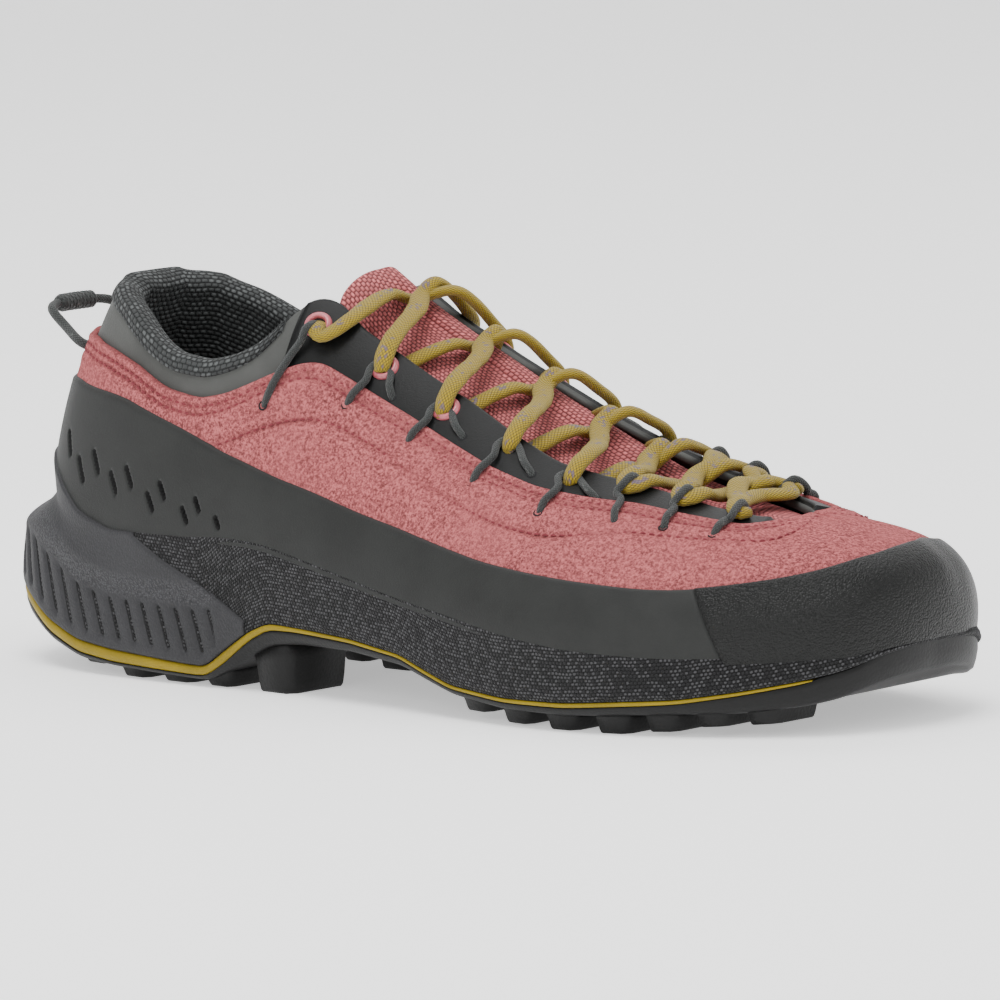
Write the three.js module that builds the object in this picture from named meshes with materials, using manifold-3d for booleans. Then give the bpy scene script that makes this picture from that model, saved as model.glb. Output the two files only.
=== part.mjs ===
// Approach shoe for the right foot, in millimetres.
// It is built with x from the heel to the toe, y towards the inner side of the foot,
// z up and the ground at z = 0, and is then centred on the middle of its footprint.
import * as THREE from "three";
import { mergeVertices } from "three/addons/utils/BufferGeometryUtils.js";
import Module from "manifold-3d";

const wasm = await Module();
wasm.setup();

// Driving sizes.
const soleLength = 278;
const heelLedge = 12.5; // from the sole's rear end to the rear of the last
const toeLedge = 2.5; // from the front of the last to the sole's tip
const ballWidth = 91; // last, at its feather edge
const formHeight = 118; // ground to the ridge of the last above the heel
const heelStack = 30; // ground to the foot at the heel
const ballStack = 16.5; // ground to the foot at the ball
const toeSpring = 3; // rise of the feather edge at the toe
const cupHeight = 24; // rise of the sole's side above the foot at the heel
const clearance = 0.3; // between neighbouring pieces
const seat = 0.48; // the same over curved faces, whose facets bow by the rest

const wall = 1.8; // upper
const suedeThickness = 1.2;
const randThickness = 1.9;
const capThickness = 2.4;
const stayThickness = 1.0;
const liningThickness = 5.5; // padding at the collar
const bindingRise = 2.2; // padding above the collar's edge
const tongueThickness = 4.2;
const insoleThickness = 4.0;
const cradleThickness = 4.5;
const grooveWidth = 2.2;
const grooveDepth = 1.3;
const grooveCount = 13;
const slotWidth = 1.3;
const lugInset = 2.0;
const lugTaper = 1.2;
const eyeletPairs = 3;
const eyeletRadius = 3.6;
const eyeletHole = 1.9;
const eyeletHeight = 1.1;
const cordRadius = 0.95; // of the lacing loops
const laceRadius = 1.9;
const pullRadius = 1.2; // cord of the pull loop
const pullSleeve = 2.2; // radius of the sleeve on its bar
const pullWidth = 23;
const pullStand = 16; // how far the loop stands out behind the heel
const pullRise = 10;

const lastLength = soleLength - heelLedge - toeLedge;

// The last.
// A row for each section. Stations are shares of lastLength, widths and centres of
// ballWidth, shoulder and ridge heights of formHeight. rise runs from the ball's stack
// to the heel's, and spring is the share of toeSpring.
const LAST_COLUMNS = [
  "station", "centre", "half", "rise", "spring", "flare", "shoulder",
  "reachOut", "reachIn", "ridgeStation", "ridgeHeight", "ridgeCentre",
];
const LAST = [
  [0.000, 0.000, 0.000, 1.000, 0.00, 0.000, 0.475, 0.50, 0.50, 0.181, 1.000, 0.000],
  [0.017, 0.000, 0.176, 1.000, 0.00, 0.011, 0.475, 0.58, 0.58, 0.184, 1.000, 0.000],
  [0.074, 0.000, 0.308, 0.963, 0.00, 0.033, 0.483, 0.74, 0.74, 0.203, 1.000, 0.000],
  [0.173, -0.008, 0.363, 0.889, 0.00, 0.038, 0.500, 0.92, 0.92, 0.241, 0.992, 0.011],
  [0.279, -0.033, 0.363, 0.778, 0.00, 0.038, 0.492, 0.86, 0.88, 0.302, 0.958, 0.033],
  [0.386, -0.052, 0.374, 0.630, 0.00, 0.044, 0.432, 0.66, 0.76, 0.386, 0.860, 0.055],
  [0.492, -0.060, 0.401, 0.407, 0.00, 0.055, 0.364, 0.60, 0.72, 0.492, 0.729, 0.066],
  [0.599, -0.055, 0.451, 0.222, 0.00, 0.055, 0.322, 0.58, 0.62, 0.599, 0.610, 0.051],
  [0.705, -0.038, 0.500, 0.074, 0.00, 0.055, 0.297, 0.60, 0.56, 0.698, 0.508, 0.044],
  [0.804, -0.011, 0.495, 0.000, 0.00, 0.055, 0.288, 0.66, 0.50, 0.774, 0.455, 0.038],
  [0.888, 0.011, 0.423, 0.000, 0.17, 0.055, 0.305, 0.74, 0.49, 0.835, 0.420, 0.030],
  [0.956, 0.027, 0.308, 0.000, 0.50, 0.049, 0.331, 0.80, 0.56, 0.873, 0.398, 0.030],
  [0.990, 0.038, 0.170, 0.000, 0.83, 0.044, 0.347, 0.84, 0.64, 0.892, 0.390, 0.031],
  [1.000, 0.044, 0.000, 0.000, 1.00, 0.044, 0.356, 0.86, 0.66, 0.897, 0.387, 0.031],
];
const LAST_ROW = LAST.length - 1;
const LAST_SECTIONS = LAST.map((row) => {
  const named = Object.fromEntries(LAST_COLUMNS.map((name, i) => [name, row[i]]));
  return {
    x: heelLedge + named.station * lastLength,
    y: named.centre * ballWidth,
    half: named.half * ballWidth,
    z: ballStack + named.rise * (heelStack - ballStack) + named.spring * toeSpring,
    flare: named.flare * ballWidth,
    shoulder: named.shoulder * formHeight,
    reachOut: named.reachOut,
    reachIn: named.reachIn,
    ridgeX: heelLedge + named.ridgeStation * lastLength,
    ridgeY: named.ridgeCentre * ballWidth,
    ridgeZ: named.ridgeHeight * formHeight,
  };
});

// Smooth value between the sections; past either end the last turns to its other side.
function section(name, k) {
  const other = { reachOut: "reachIn", reachIn: "reachOut" }[name] ?? name;
  const sign = name === "half" ? -1 : 1;
  const at = (i) => {
    if (i < 0) return sign * LAST_SECTIONS[-i][other];
    if (i > LAST_ROW) return sign * LAST_SECTIONS[2 * LAST_ROW - i][other];
    return LAST_SECTIONS[i][name];
  };
  const i = Math.min(Math.max(Math.floor(k), 0), LAST_ROW - 1);
  const t = k - i;
  const [a, b, c, d] = [at(i - 1), at(i), at(i + 1), at(i + 2)];
  const square = (2 * a - 5 * b + 4 * c - d) * t * t;
  const cube = (-a + 3 * b - 3 * c + d) * t * t * t;
  return 0.5 * (2 * b + (c - a) * t + square + cube);
}

// A girth position u runs from the heel (0) along the outer side to the toe (LAST_ROW)
// and back along the inner side to the heel (2 * LAST_ROW).
const TURN = 2 * LAST_ROW;
const wrap = (u) => ((u % TURN) + TURN) % TURN;
const rowOf = (u) => Math.round((wrap(u) <= LAST_ROW ? wrap(u) : TURN - wrap(u)) * 1e6) / 1e6;
const sideOf = (u) => (wrap(u) <= LAST_ROW ? -1 : 1);
const across = (u) => TURN - u;

function feather(u) {
  const k = rowOf(u);
  const y = section("y", k) + sideOf(u) * section("half", k);
  return new THREE.Vector3(section("x", k), y, section("z", k));
}

function outwardInPlan(u) {
  const step = 0.002;
  const along = feather(u + step).sub(feather(u - step));
  return new THREE.Vector3(along.y, -along.x, 0).normalize();
}

function ridgeSlope(k) {
  const step = 0.05;
  const at = Math.min(Math.max(k, 2 * step), LAST_ROW - 2 * step);
  const runX = section("ridgeX", at + step) - section("ridgeX", at - step);
  return (section("ridgeZ", at + step) - section("ridgeZ", at - step)) / runX;
}

// Point of the last at girth position u and share v of the way from feather edge to ridge.
function lastPoint(u, v) {
  const k = rowOf(u);
  const bottom = feather(u);
  const ridge = new THREE.Vector3(section("ridgeX", k), section("ridgeY", k), section("ridgeZ", k));
  const slope = ridgeSlope(k);
  const out = bottom.clone().sub(ridge);
  const reach = section(sideOf(u) < 0 ? "reachOut" : "reachIn", k);
  const shoulder = bottom.clone().addScaledVector(outwardInPlan(u), section("flare", k));
  shoulder.z = section("shoulder", k);
  const crown = ridge.clone().add(new THREE.Vector3(out.x, out.y, slope * out.x).multiplyScalar(reach));
  const w = 1 - v;
  return bottom.multiplyScalar(w * w * w)
    .addScaledVector(shoulder, 3 * w * w * v)
    .addScaledVector(crown, 3 * w * v * v)
    .addScaledVector(ridge, v * v * v);
}

function lastNormal(u, v) {
  const step = 0.004;
  if (v > 1 - step) return new THREE.Vector3(-ridgeSlope(rowOf(u)), 0, 1).normalize();
  const along = lastPoint(u + step, v).sub(lastPoint(u - step, v));
  const up = lastPoint(u, v + step).sub(lastPoint(u, v - step));
  return along.cross(up).normalize();
}

// The upper's own function: the last grown outwards by a distance.
function form(u, v, distance) {
  return lastPoint(u, v).addScaledVector(lastNormal(u, v), distance);
}

function shareAtHeight(u, height, distance) {
  let low = 0;
  let high = 0.75;
  for (let i = 0; i < 30; i += 1) {
    const middle = (low + high) / 2;
    if (form(u, middle, distance).z < height) low = middle;
    else high = middle;
  }
  return low;
}

// Share of the girth that a length takes up at u.
function girthShare(u, length) {
  let girth = 0;
  let before = lastPoint(u, 0);
  for (let i = 1; i <= 8; i += 1) {
    const next = lastPoint(u, i / 8);
    girth += next.distanceTo(before);
    before = next;
  }
  return length / girth;
}

// Edges on the upper.
// Each edge is a table of row number on the last and share of the girth.
function edge(outer, inner = outer) {
  const read = (table, k) => {
    let i = 0;
    while (i < table.length - 2 && table[i + 1][0] < k) i += 1;
    const [k0, v0] = table[i];
    const [k1, v1] = table[i + 1];
    return v0 + (v1 - v0) * Math.min(Math.max((k - k0) / (k1 - k0), 0), 1);
  };
  return (u) => read(sideOf(u) < 0 ? outer : inner, rowOf(u));
}

const throatRow = 10.9;
const accentRow = 11; // row where the coloured layer of the sole runs out

const topEdge = edge([
  [0, 0.62], [1, 0.62], [1.6, 0.605], [2, 0.59], [2.5, 0.555], [3, 0.492], [3.4, 0.458],
  [3.8, 0.455], [4.1, 0.487], [4.35, 0.54], [4.5, 0.61], [4.6, 0.70], [4.8, 0.742], [5, 0.742],
  [5.2, 0.715], [5.6, 0.72], [6, 0.72], [6.5, 0.724], [7, 0.714], [7.5, 0.714], [8, 0.765],
  [8.5, 0.80], [9, 0.815], [9.5, 0.82], [10, 0.845], [10.3, 0.895], [10.7, 0.965], [throatRow, 1],
  [13, 1],
], [
  [0, 0.62], [1, 0.62], [1.6, 0.605], [2, 0.585], [2.5, 0.545], [3, 0.485], [3.4, 0.452],
  [3.8, 0.45], [4.1, 0.487], [4.35, 0.54], [4.5, 0.61], [4.6, 0.70], [4.8, 0.742], [5, 0.742],
  [5.2, 0.715], [5.6, 0.72], [6, 0.72], [6.5, 0.724], [7, 0.714], [7.5, 0.724], [8, 0.765],
  [8.5, 0.80], [9, 0.815], [9.5, 0.82], [10, 0.845], [10.3, 0.895], [10.7, 0.965], [throatRow, 1],
  [13, 1],
]);

const suedeTop = edge([
  [0, 0.50], [1, 0.50], [1.6, 0.494], [2, 0.486], [2.5, 0.465], [3, 0.432], [3.4, 0.398],
  [3.8, 0.390], [4.1, 0.415], [4.35, 0.457], [4.6, 0.51], [4.8, 0.553], [5, 0.581], [5.2, 0.581],
  [6, 0.589], [7, 0.583], [7.5, 0.598], [8, 0.645], [8.5, 0.695], [9, 0.715], [9.5, 0.73],
  [9.9, 0.74], [10.3, 0.83], [10.7, 0.945], [throatRow, 1], [13, 1],
]);

const randTop = edge([
  [0, 0.405], [1.5, 0.405], [2, 0.398], [2.8, 0.373], [3.4, 0.342], [4.1, 0.301], [4.8, 0.291],
  [5.8, 0.303], [6.3, 0.311], [7.3, 0.308], [7.9, 0.323], [8.6, 0.335], [9.3, 0.342], [9.6, 0.349],
  [10, 0.371], [10.6, 0.413], [11.2, 0.466], [11.9, 0.531], [12.5, 0.588], [13, 0.61],
]);

// The sole's side.
// A row for each station, as a share of soleLength from the heel. plate, rubber and accent
// are heights of the tread plate, of the rubber above it and of the coloured layer, as
// shares of the local stack; rim is the top of the side as a share of cupHeight.
const SIDE = [
  [0.000, 0.533, 0.700, 0.800, 1.021], [0.022, 0.433, 0.583, 0.683, 1.021],
  [0.058, 0.340, 0.460, 0.560, 0.98], [0.094, 0.222, 0.296, 0.397, 0.80],
  [0.137, 0.123, 0.178, 0.280, 0.478], [0.183, 0.090, 0.132, 0.236, 0.343],
  [0.234, 0.075, 0.117, 0.213, 0.370], [0.281, 0.062, 0.104, 0.189, 0.401],
  [0.302, 0.062, 0.104, 0.190, 0.429], [0.327, 0.170, 0.250, 0.368, 0.466],
  [0.356, 0.345, 0.463, 0.568, 0.481], [0.381, 0.469, 0.594, 0.684, 0.479],
  [0.417, 0.524, 0.620, 0.694, 0.437], [0.486, 0.565, 0.640, 0.712, 0.368],
  [0.550, 0.530, 0.602, 0.666, 0.299], [0.615, 0.300, 0.350, 0.422, 0.249],
  [0.680, 0.220, 0.285, 0.375, 0.182], [0.748, 0.225, 0.297, 0.409, 0.127],
  [0.806, 0.290, 0.380, 0.497, 0.114], [0.856, 0.330, 0.445, 0.547, 0.094],
  [0.903, 0.340, 0.560, 0.650, 0.090], [0.950, 0.410, 0.700, 0.765, 0.090],
  [0.975, 0.490, 0.800, 0.850, 0.090], [1.000, 0.68, 1.00, 1.04, 0.15],
];
const SIDE_COLUMN = { plate: 1, rubber: 2, accent: 3, rim: 4 };

function sideShare(name, x) {
  const share = x / soleLength;
  const column = SIDE_COLUMN[name];
  let i = 0;
  while (i < SIDE.length - 2 && SIDE[i + 1][0] < share) i += 1;
  const [a, b] = [SIDE[i], SIDE[i + 1]];
  const t = Math.min(Math.max((share - a[0]) / (b[0] - a[0]), 0), 1);
  return a[column] + (b[column] - a[column]) * t;
}

// Distance of the sole's outline from the last's feather edge, by row of the last: on the
// outer side, then on the inner side.
const LEDGE = [
  [0, 1, 1], [1, 0.86, 0.86], [2, 0.5, 0.5], [3, 0.36, 0.36], [4, 0.3, 0.3],
  [5, 0.24, 0.26], [6, 0.24, 0.24], [7, 0.24, 0.24], [8, 0.25, 0.25], [9, 0.28, 0.26],
  [10, 0.3, 0.32], [11, 0.29, 0.36], [12, 0.22, 0.3], [13, 0.2, 0.2],
];

function ledge(u) {
  const k = rowOf(u);
  const i = Math.min(Math.floor(k), LEDGE.length - 2);
  const side = sideOf(u) < 0 ? 1 : 2;
  const t = k - i;
  return heelLedge * (LEDGE[i][side] * (1 - t) + LEDGE[i + 1][side] * t);
}

function outline(u) {
  const point = feather(u);
  return point.addScaledVector(outwardInPlan(u), ledge(u));
}

// Row of the last beside a place of the sole.
function rowAtStation(x) {
  let [low, high] = [0, LAST_ROW];
  for (let i = 0; i < 24; i += 1) {
    const middle = (low + high) / 2;
    if (outline(middle).x < x) low = middle;
    else high = middle;
  }
  return low;
}

// Heights of the layers at u.
function layer(name, u) {
  return sideShare(name, outline(u).x) * feather(u).z;
}

function rimHeight(u) {
  return feather(u).z + sideShare("rim", outline(u).x) * cupHeight;
}

function rimPoint(u) {
  const height = rimHeight(u);
  const lip = seat + randThickness + 0.4;
  const point = form(u, shareAtHeight(u, height, lip), lip);
  point.z = height;
  return point;
}

// Outward steps of the sole's side by height: share of the way up, then millimetres at
// the heel and at the forefoot. Above a ledge halfway up, the heel stands back under its lip.
const STEPS = [
  [0, -0.9, -0.8], [0.12, -0.9, 0], [0.3, -1.5, 0.2], [0.44, -1.9, 0], [0.52, -2.0, 0],
  [0.66, -0.9, -0.1], [1, 0, 0],
];

function sidePoint(u, share, bottomHeight) {
  const rim = rimPoint(u);
  const base = outline(u);
  const heelness = 1 - THREE.MathUtils.smoothstep(base.x / soleLength, 0.3, 0.46);
  let i = 0;
  while (i < STEPS.length - 2 && STEPS[i + 1][0] < share) i += 1;
  const t = (share - STEPS[i][0]) / (STEPS[i + 1][0] - STEPS[i][0]);
  const atHeel = STEPS[i][1] + (STEPS[i + 1][1] - STEPS[i][1]) * t;
  const atBall = STEPS[i][2] + (STEPS[i + 1][2] - STEPS[i][2]) * t;
  const step = atBall + (atHeel - atBall) * heelness;
  const lip = 0.8 + 0.25 * THREE.MathUtils.smoothstep(base.x / soleLength, 0.08, 0.22);
  const lean = THREE.MathUtils.smoothstep(share, 0.42 + 0.1 * heelness, lip);
  const point = base.clone().lerp(rim, share >= 1 ? 1 : lean);
  if (share < 1) point.addScaledVector(outwardInPlan(u), step);
  point.z = bottomHeight + (rim.z - bottomHeight) * share;
  return point;
}

// Solids.
const ROWS = [
  0, 0.5, 1, 1.5, 2, 2.5, 3, 3.4, 3.8, 4.1, 4.35, 4.5, 4.6, 4.8, 5, 5.2, 5.6, 6, 6.6, 7.2,
  7.8, 8.4, 9, 9.5, 10, 10.3, 10.7, throatRow, 11.4, 12, 12.5, LAST_ROW,
];
const SOLE_ROWS = [
  0, 0.5, 1, 1.5, 2, 2.5, 3, 3.6, 4.2, 4.8, 5.5, 6.2, 7, 7.8, 8.4, 9, 9.5, 10, 10.5, accentRow,
  11.5, 12, 12.5, LAST_ROW,
];
const RING = [...ROWS, ...ROWS.slice(1, -1).reverse().map((k) => across(k))];

function between(from, to) {
  const margin = 0.06;
  const turns = [...RING, ...RING.map((u) => u + TURN)];
  return [from, ...turns.filter((u) => u > from + margin && u < to - margin), to];
}

// Merges the corners, drops empty faces and returns the geometry.
function geometryOf(faces) {
  const keys = new Map();
  const positions = [];
  const index = (p) => {
    const key = `${Math.round(p.x * 2000)},${Math.round(p.y * 2000)},${Math.round(p.z * 2000)}`;
    if (!keys.has(key)) {
      keys.set(key, positions.length / 3);
      positions.push(p.x, p.y, p.z);
    }
    return keys.get(key);
  };
  const triangles = [];
  for (const face of faces) {
    const ids = face.map(index);
    for (let i = 1; i + 1 < ids.length; i += 1) {
      const [a, b, c] = [ids[0], ids[i], ids[i + 1]];
      if (a !== b && b !== c && a !== c) triangles.push(a, b, c);
    }
  }
  const geometry = new THREE.BufferGeometry();
  geometry.setAttribute("position", new THREE.Float32BufferAttribute(positions, 3));
  geometry.setIndex(triangles);
  return geometry;
}

// Wall between two edges of the upper's function. Each column is a girth position, or a
// pair of them for a slanted end: at the low edge and at the high edge.
function band({ columns, low, high, rows, insideRows = rows, inner, outer, closed }) {
  const spot = (column, t, distance) => {
    const [from, to] = Array.isArray(column) ? column : [column, column];
    const u = from + (to - from) * t;
    const v = low(u) + (high(u) - low(u)) * t;
    return { point: form(u, v, typeof distance === "function" ? distance(t, u) : distance), v };
  };
  const outside = columns.map((c) => rows.map((t) => spot(c, t, outer)));
  const inside = columns.map((c) => insideRows.map((t) => spot(c, t, inner)));
  const last = rows.length - 1;
  const insideLast = insideRows.length - 1;
  const faces = [];
  const count = closed ? columns.length : columns.length - 1;
  for (let i = 0; i < count; i += 1) {
    const j = (i + 1) % columns.length;
    for (let r = 0; r < last; r += 1) {
      faces.push([outside[i][r], outside[j][r], outside[j][r + 1], outside[i][r + 1]]);
    }
    for (let r = 0; r < insideLast; r += 1) {
      faces.push([inside[j][r], inside[i][r], inside[i][r + 1], inside[j][r + 1]]);
    }
    if (outside[i][last].v < 1 || outside[j][last].v < 1) {
      faces.push([outside[i][last], outside[j][last], inside[j][insideLast], inside[i][insideLast]]);
    }
    faces.push([inside[i][0], inside[j][0], outside[j][0], outside[i][0]]);
  }
  if (!closed) {
    const end = columns.length - 1;
    for (let r = 0; r < last; r += 1) {
      faces.push([inside[0][r], outside[0][r], outside[0][r + 1], inside[0][r + 1]]);
      faces.push([outside[end][r], inside[end][r], inside[end][r + 1], outside[end][r + 1]]);
    }
  }
  return geometryOf(faces.map((face) => face.map((corner) => corner.point)));
}

// Solid whose side follows a profile at each row and whose faces run straight across
// from the outer side to the inner side.
function slab(rows, profile) {
  const outerSide = rows.map((k) => profile(k));
  const innerSide = rows.map((k) => profile(across(k)));
  const top = outerSide[0].length - 1;
  const faces = [];
  for (let i = 0; i + 1 < rows.length; i += 1) {
    const [o, p] = [outerSide[i], outerSide[i + 1]];
    const [m, n] = [innerSide[i], innerSide[i + 1]];
    for (let j = 0; j < top; j += 1) {
      faces.push([o[j], p[j], p[j + 1], o[j + 1]]);
      faces.push([n[j], m[j], m[j + 1], n[j + 1]]);
    }
    faces.push([o[top], p[top], n[top], m[top]]);
    faces.push([m[0], n[0], p[0], o[0]]);
  }
  const end = rows.length - 1;
  for (let j = 0; j < top; j += 1) {
    faces.push([outerSide[end][j], innerSide[end][j], innerSide[end][j + 1], outerSide[end][j + 1]]);
    faces.push([innerSide[0][j], outerSide[0][j], outerSide[0][j + 1], innerSide[0][j + 1]]);
  }
  return geometryOf(faces);
}

function solidOf(geometry) {
  const bare = geometry.clone();
  bare.deleteAttribute("normal");
  bare.deleteAttribute("uv");
  const merged = mergeVertices(bare, 1e-4);
  const mesh = new wasm.Mesh({
    numProp: 3,
    vertProperties: new Float32Array(merged.attributes.position.array),
    triVerts: new Uint32Array(merged.index.array),
  });
  return new wasm.Manifold(mesh);
}

// Geometry of a cut solid, without the slivers that are flatter than a tolerance.
function geometryFrom(solid, flat = 0.02) {
  const mesh = solid.simplify(flat).getMesh();
  const geometry = new THREE.BufferGeometry();
  geometry.setAttribute("position", new THREE.BufferAttribute(new Float32Array(mesh.vertProperties), 3));
  geometry.setIndex(Array.from(mesh.triVerts));
  return geometry;
}

const shoe = new THREE.Group();

function add(name, geometry, color, roughness = 0.8, metalness = 0) {
  geometry.computeVertexNormals();
  const mesh = new THREE.Mesh(geometry, new THREE.MeshStandardMaterial({ color, roughness, metalness }));
  mesh.name = name;
  shoe.add(mesh);
}

// Sole.
const accentTop = (u) => layer("accent", u);

function midsoleProfile(u) {
  const bottom = accentTop(u) + clearance;
  const shares = [0, 0.12, 0.3, 0.44, 0.52, 0.66, 1];
  const side = shares.map((share) => sidePoint(u, share, bottom));
  const rimShare = shareAtHeight(u, rimHeight(u), seat);
  const cup = [1, 0.66, 0.33, 0].map((t) => form(u, rimShare * t, seat));
  cup[0].z = rimHeight(u);
  cup.at(-1).z = feather(u).z - clearance;
  return [...side, ...cup];
}

const soleBody = solidOf(slab(SOLE_ROWS, midsoleProfile));

// The heel cradle's share of the sole: a skin around the heel that ends on a slant.
const CRADLE_EDGE = [
  [0, 3], [0.21, 3], [0.216, 0.33], [0.252, 0.13], [0.288, -0.03], [0.324, -0.22], [0.365, -0.4],
];

function cradleRegion(grow) {
  const slant = (x) => {
    const share = x / soleLength;
    let i = 0;
    while (i < CRADLE_EDGE.length - 2 && CRADLE_EDGE[i + 1][0] < share) i += 1;
    const [a, b] = [CRADLE_EDGE[i], CRADLE_EDGE[i + 1]];
    return a[1] + (b[1] - a[1]) * Math.min(Math.max((share - a[0]) / (b[0] - a[0]), 0), 1);
  };
  const end = rowAtStation(CRADLE_EDGE.at(-1)[0] * soleLength + grow);
  const rows = [...SOLE_ROWS.filter((k) => k < end - 0.1), end];
  const columns = [...rows.slice(1).reverse().map((k) => across(k)), ...rows];
  const faces = [];
  const loops = columns.map((u) => {
    const top = feather(u).z + slant(outline(u).x) * cupHeight + grow;
    const out = outwardInPlan(u);
    const inside = outline(u).addScaledVector(out, -cradleThickness - grow);
    const outside = outline(u).addScaledVector(out, heelLedge);
    const shelf = Math.min(feather(u).z * 1.1 - grow, top);
    const deep = shelf < top ? feather(u).addScaledVector(out, -2 * cradleThickness - grow) : inside;
    return [
      new THREE.Vector3(outside.x, outside.y, -1),
      new THREE.Vector3(outside.x, outside.y, top),
      new THREE.Vector3(deep.x, deep.y, top),
      new THREE.Vector3(deep.x, deep.y, shelf),
      new THREE.Vector3(inside.x, inside.y, shelf),
      new THREE.Vector3(inside.x, inside.y, -1),
    ];
  });
  for (let i = 0; i + 1 < loops.length; i += 1) {
    for (let j = 0; j < loops[i].length; j += 1) {
      const n = (j + 1) % loops[i].length;
      faces.push([loops[i][j], loops[i + 1][j], loops[i + 1][n], loops[i][n]]);
    }
  }
  faces.push(loops[0]);
  faces.push([...loops.at(-1)].reverse());
  return solidOf(geometryOf(faces));
}

let cradle = soleBody.intersect(cradleRegion(0));
const midsole = soleBody.subtract(cradleRegion(clearance));

// Slanted grooves below the cradle's ledge.
const GROOVES = { from: 0.078, to: 0.345, middle: 0.2, reach: 0.36, slant: 0.4 };
for (let i = 0; i < grooveCount; i += 1) {
  const station = GROOVES.from + ((GROOVES.to - GROOVES.from) * i) / (grooveCount - 1);
  const k = rowAtStation(station * soleLength);
  for (const u of [k, across(k)]) {
    const bottom = accentTop(u) + clearance;
    const length = GROOVES.reach * (rimHeight(u) - bottom);
    const groove = new THREE.CylinderGeometry(grooveDepth * 1.3, grooveDepth * 1.3, length, 3);
    groove.rotateX(Math.PI / 2).rotateZ(Math.PI / 2).scale(1, grooveWidth / (2.2 * grooveDepth), 1);
    const out = outwardInPlan(u);
    const lean = new THREE.Matrix4().makeRotationX(sideOf(u) * GROOVES.slant);
    const along = new THREE.Vector3(0, 0, 1).cross(out);
    const matrix = new THREE.Matrix4().makeBasis(out, along, new THREE.Vector3(0, 0, 1));
    matrix.multiply(lean).setPosition(sidePoint(u, GROOVES.middle, bottom));
    groove.applyMatrix4(matrix);
    cradle = cradle.subtract(solidOf(groove));
  }
}
add("midsole", geometryFrom(midsole), 0x3d3d3c, 0.85);
add("heel_cradle", geometryFrom(cradle), 0x58585a, 0.6);

add("sole_accent", slab(SOLE_ROWS.filter((k) => k <= accentRow), (u) => {
  const low = layer("rubber", u) + clearance;
  const high = Math.max(accentTop(u), low + 0.25);
  const base = sidePoint(u, 0, high);
  const under = base.clone();
  under.z = low;
  return [under, base];
}), 0xa08c2d, 0.6);

const plate = solidOf(slab(SOLE_ROWS, (u) => {
  const top = layer("rubber", u);
  const edgePoint = sidePoint(u, 0, top);
  const low = edgePoint.clone();
  low.z = top - (top - layer("plate", u)) * 0.45;
  const under = edgePoint.clone().addScaledVector(outwardInPlan(u), -lugInset);
  under.z = layer("plate", u);
  return [under, low, edgePoint];
}));

// Lugs of the tread: from and to as shares of soleLength, bottom as a share of ballStack,
// then their reach from the middle line as shares of the half width.
const LUGS = [
  [0.076, 0.119, 0.40, 0.48, 1], [0.133, 0.169, 0.14, 0.45, 1], [0.183, 0.221, 0, 0.45, 1],
  [0.236, 0.277, 0, 0.45, 1], [0.291, 0.326, 0, 0.5, 1], [0.350, 0.402, 0, 0.34, 1],
  [0.619, 0.655, 0.13, 0.5, 1], [0.669, 0.705, 0.03, 0.56, 1], [0.719, 0.755, 0, 0.58, 1],
  [0.770, 0.806, 0, 0.58, 1], [0.818, 0.848, 0.06, 0.58, 1], [0.861, 0.888, 0.15, 0.55, 1],
  [0.900, 0.926, 0.19, 0.5, 1], [0.642, 0.674, 0.08, 0.1, 0.42], [0.694, 0.727, 0, 0.1, 0.46],
  [0.745, 0.778, 0, 0.1, 0.48], [0.795, 0.827, 0, 0.1, 0.48],
  [0.151, 0.187, 0.05, 0.08, 0.36], [0.207, 0.243, 0, 0.08, 0.36],
];
const smoothToe = 0.81; // share of soleLength past which only the outer edge has lugs

function lug([from, to, bottomShare, reachIn, reachOut], side) {
  const bottom = bottomShare * ballStack;
  const slant = (reachOut < 1 ? 3 : 1.5);
  const corner = (share, reach, height, inset) => {
    const k = rowAtStation(share * soleLength);
    const edgePoint = outline(side < 0 ? k : across(k));
    const middle = section("y", k);
    const half = Math.abs(edgePoint.y - middle) - lugInset - lugTaper;
    const y = middle + side * (half * reach - inset * (reach === reachOut ? 1 : -1));
    const x = share * soleLength + slant * (1 - reach) + inset * (share === from ? 1 : -1);
    const root = layer("plate", k) + 0.4 * (layer("rubber", k) - layer("plate", k));
    return new THREE.Vector3(x, y, height === "root" ? root : bottom);
  };
  const ring = (height, inset) => [
    corner(from, reachIn, height, inset), corner(to, reachIn, height, inset),
    corner(to, reachOut, height, inset), corner(from, reachOut, height, inset),
  ];
  const low = ring("bottom", lugTaper);
  const high = ring("root", 0);
  const faces = [[...low].reverse(), high];
  for (let i = 0; i < 4; i += 1) {
    const j = (i + 1) % 4;
    faces.push([low[i], low[j], high[j], high[i]]);
  }
  return solidOf(geometryOf(side < 0 ? faces.map((face) => [...face].reverse()) : faces));
}

let outsole = plate;
for (const row of LUGS) {
  for (const side of row[0] > smoothToe ? [-1] : [-1, 1]) outsole = outsole.add(lug(row, side));
}
add("outsole", geometryFrom(outsole), 0x323232, 0.8);

add("insole", slab(SOLE_ROWS, (u) => {
  const inset = -wall - clearance;
  const bottom = feather(u).z;
  const low = form(u, 0, inset);
  low.z = bottom;
  const high = form(u, shareAtHeight(u, bottom + insoleThickness, inset), inset);
  high.z = bottom + insoleThickness;
  return [low, high];
}), 0x4a4a4c, 0.9);

// Upper and its overlays.
add("upper", band({
  columns: RING,
  low: () => 0,
  high: topEdge,
  rows: [0, 0.1, 0.25, 0.4, 0.55, 0.7, 0.85, 1],
  inner: -wall,
  outer: 0,
  closed: true,
}), 0x424442, 0.75);

// OVERLAYS. They lie on the upper, cut between two larger forms of its function.
const rowGap = (1.4 * clearance * LAST_ROW) / lastLength;
const capSeam = [10.01, 9.62]; // rows at the rim and at the cap's top edge

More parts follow.
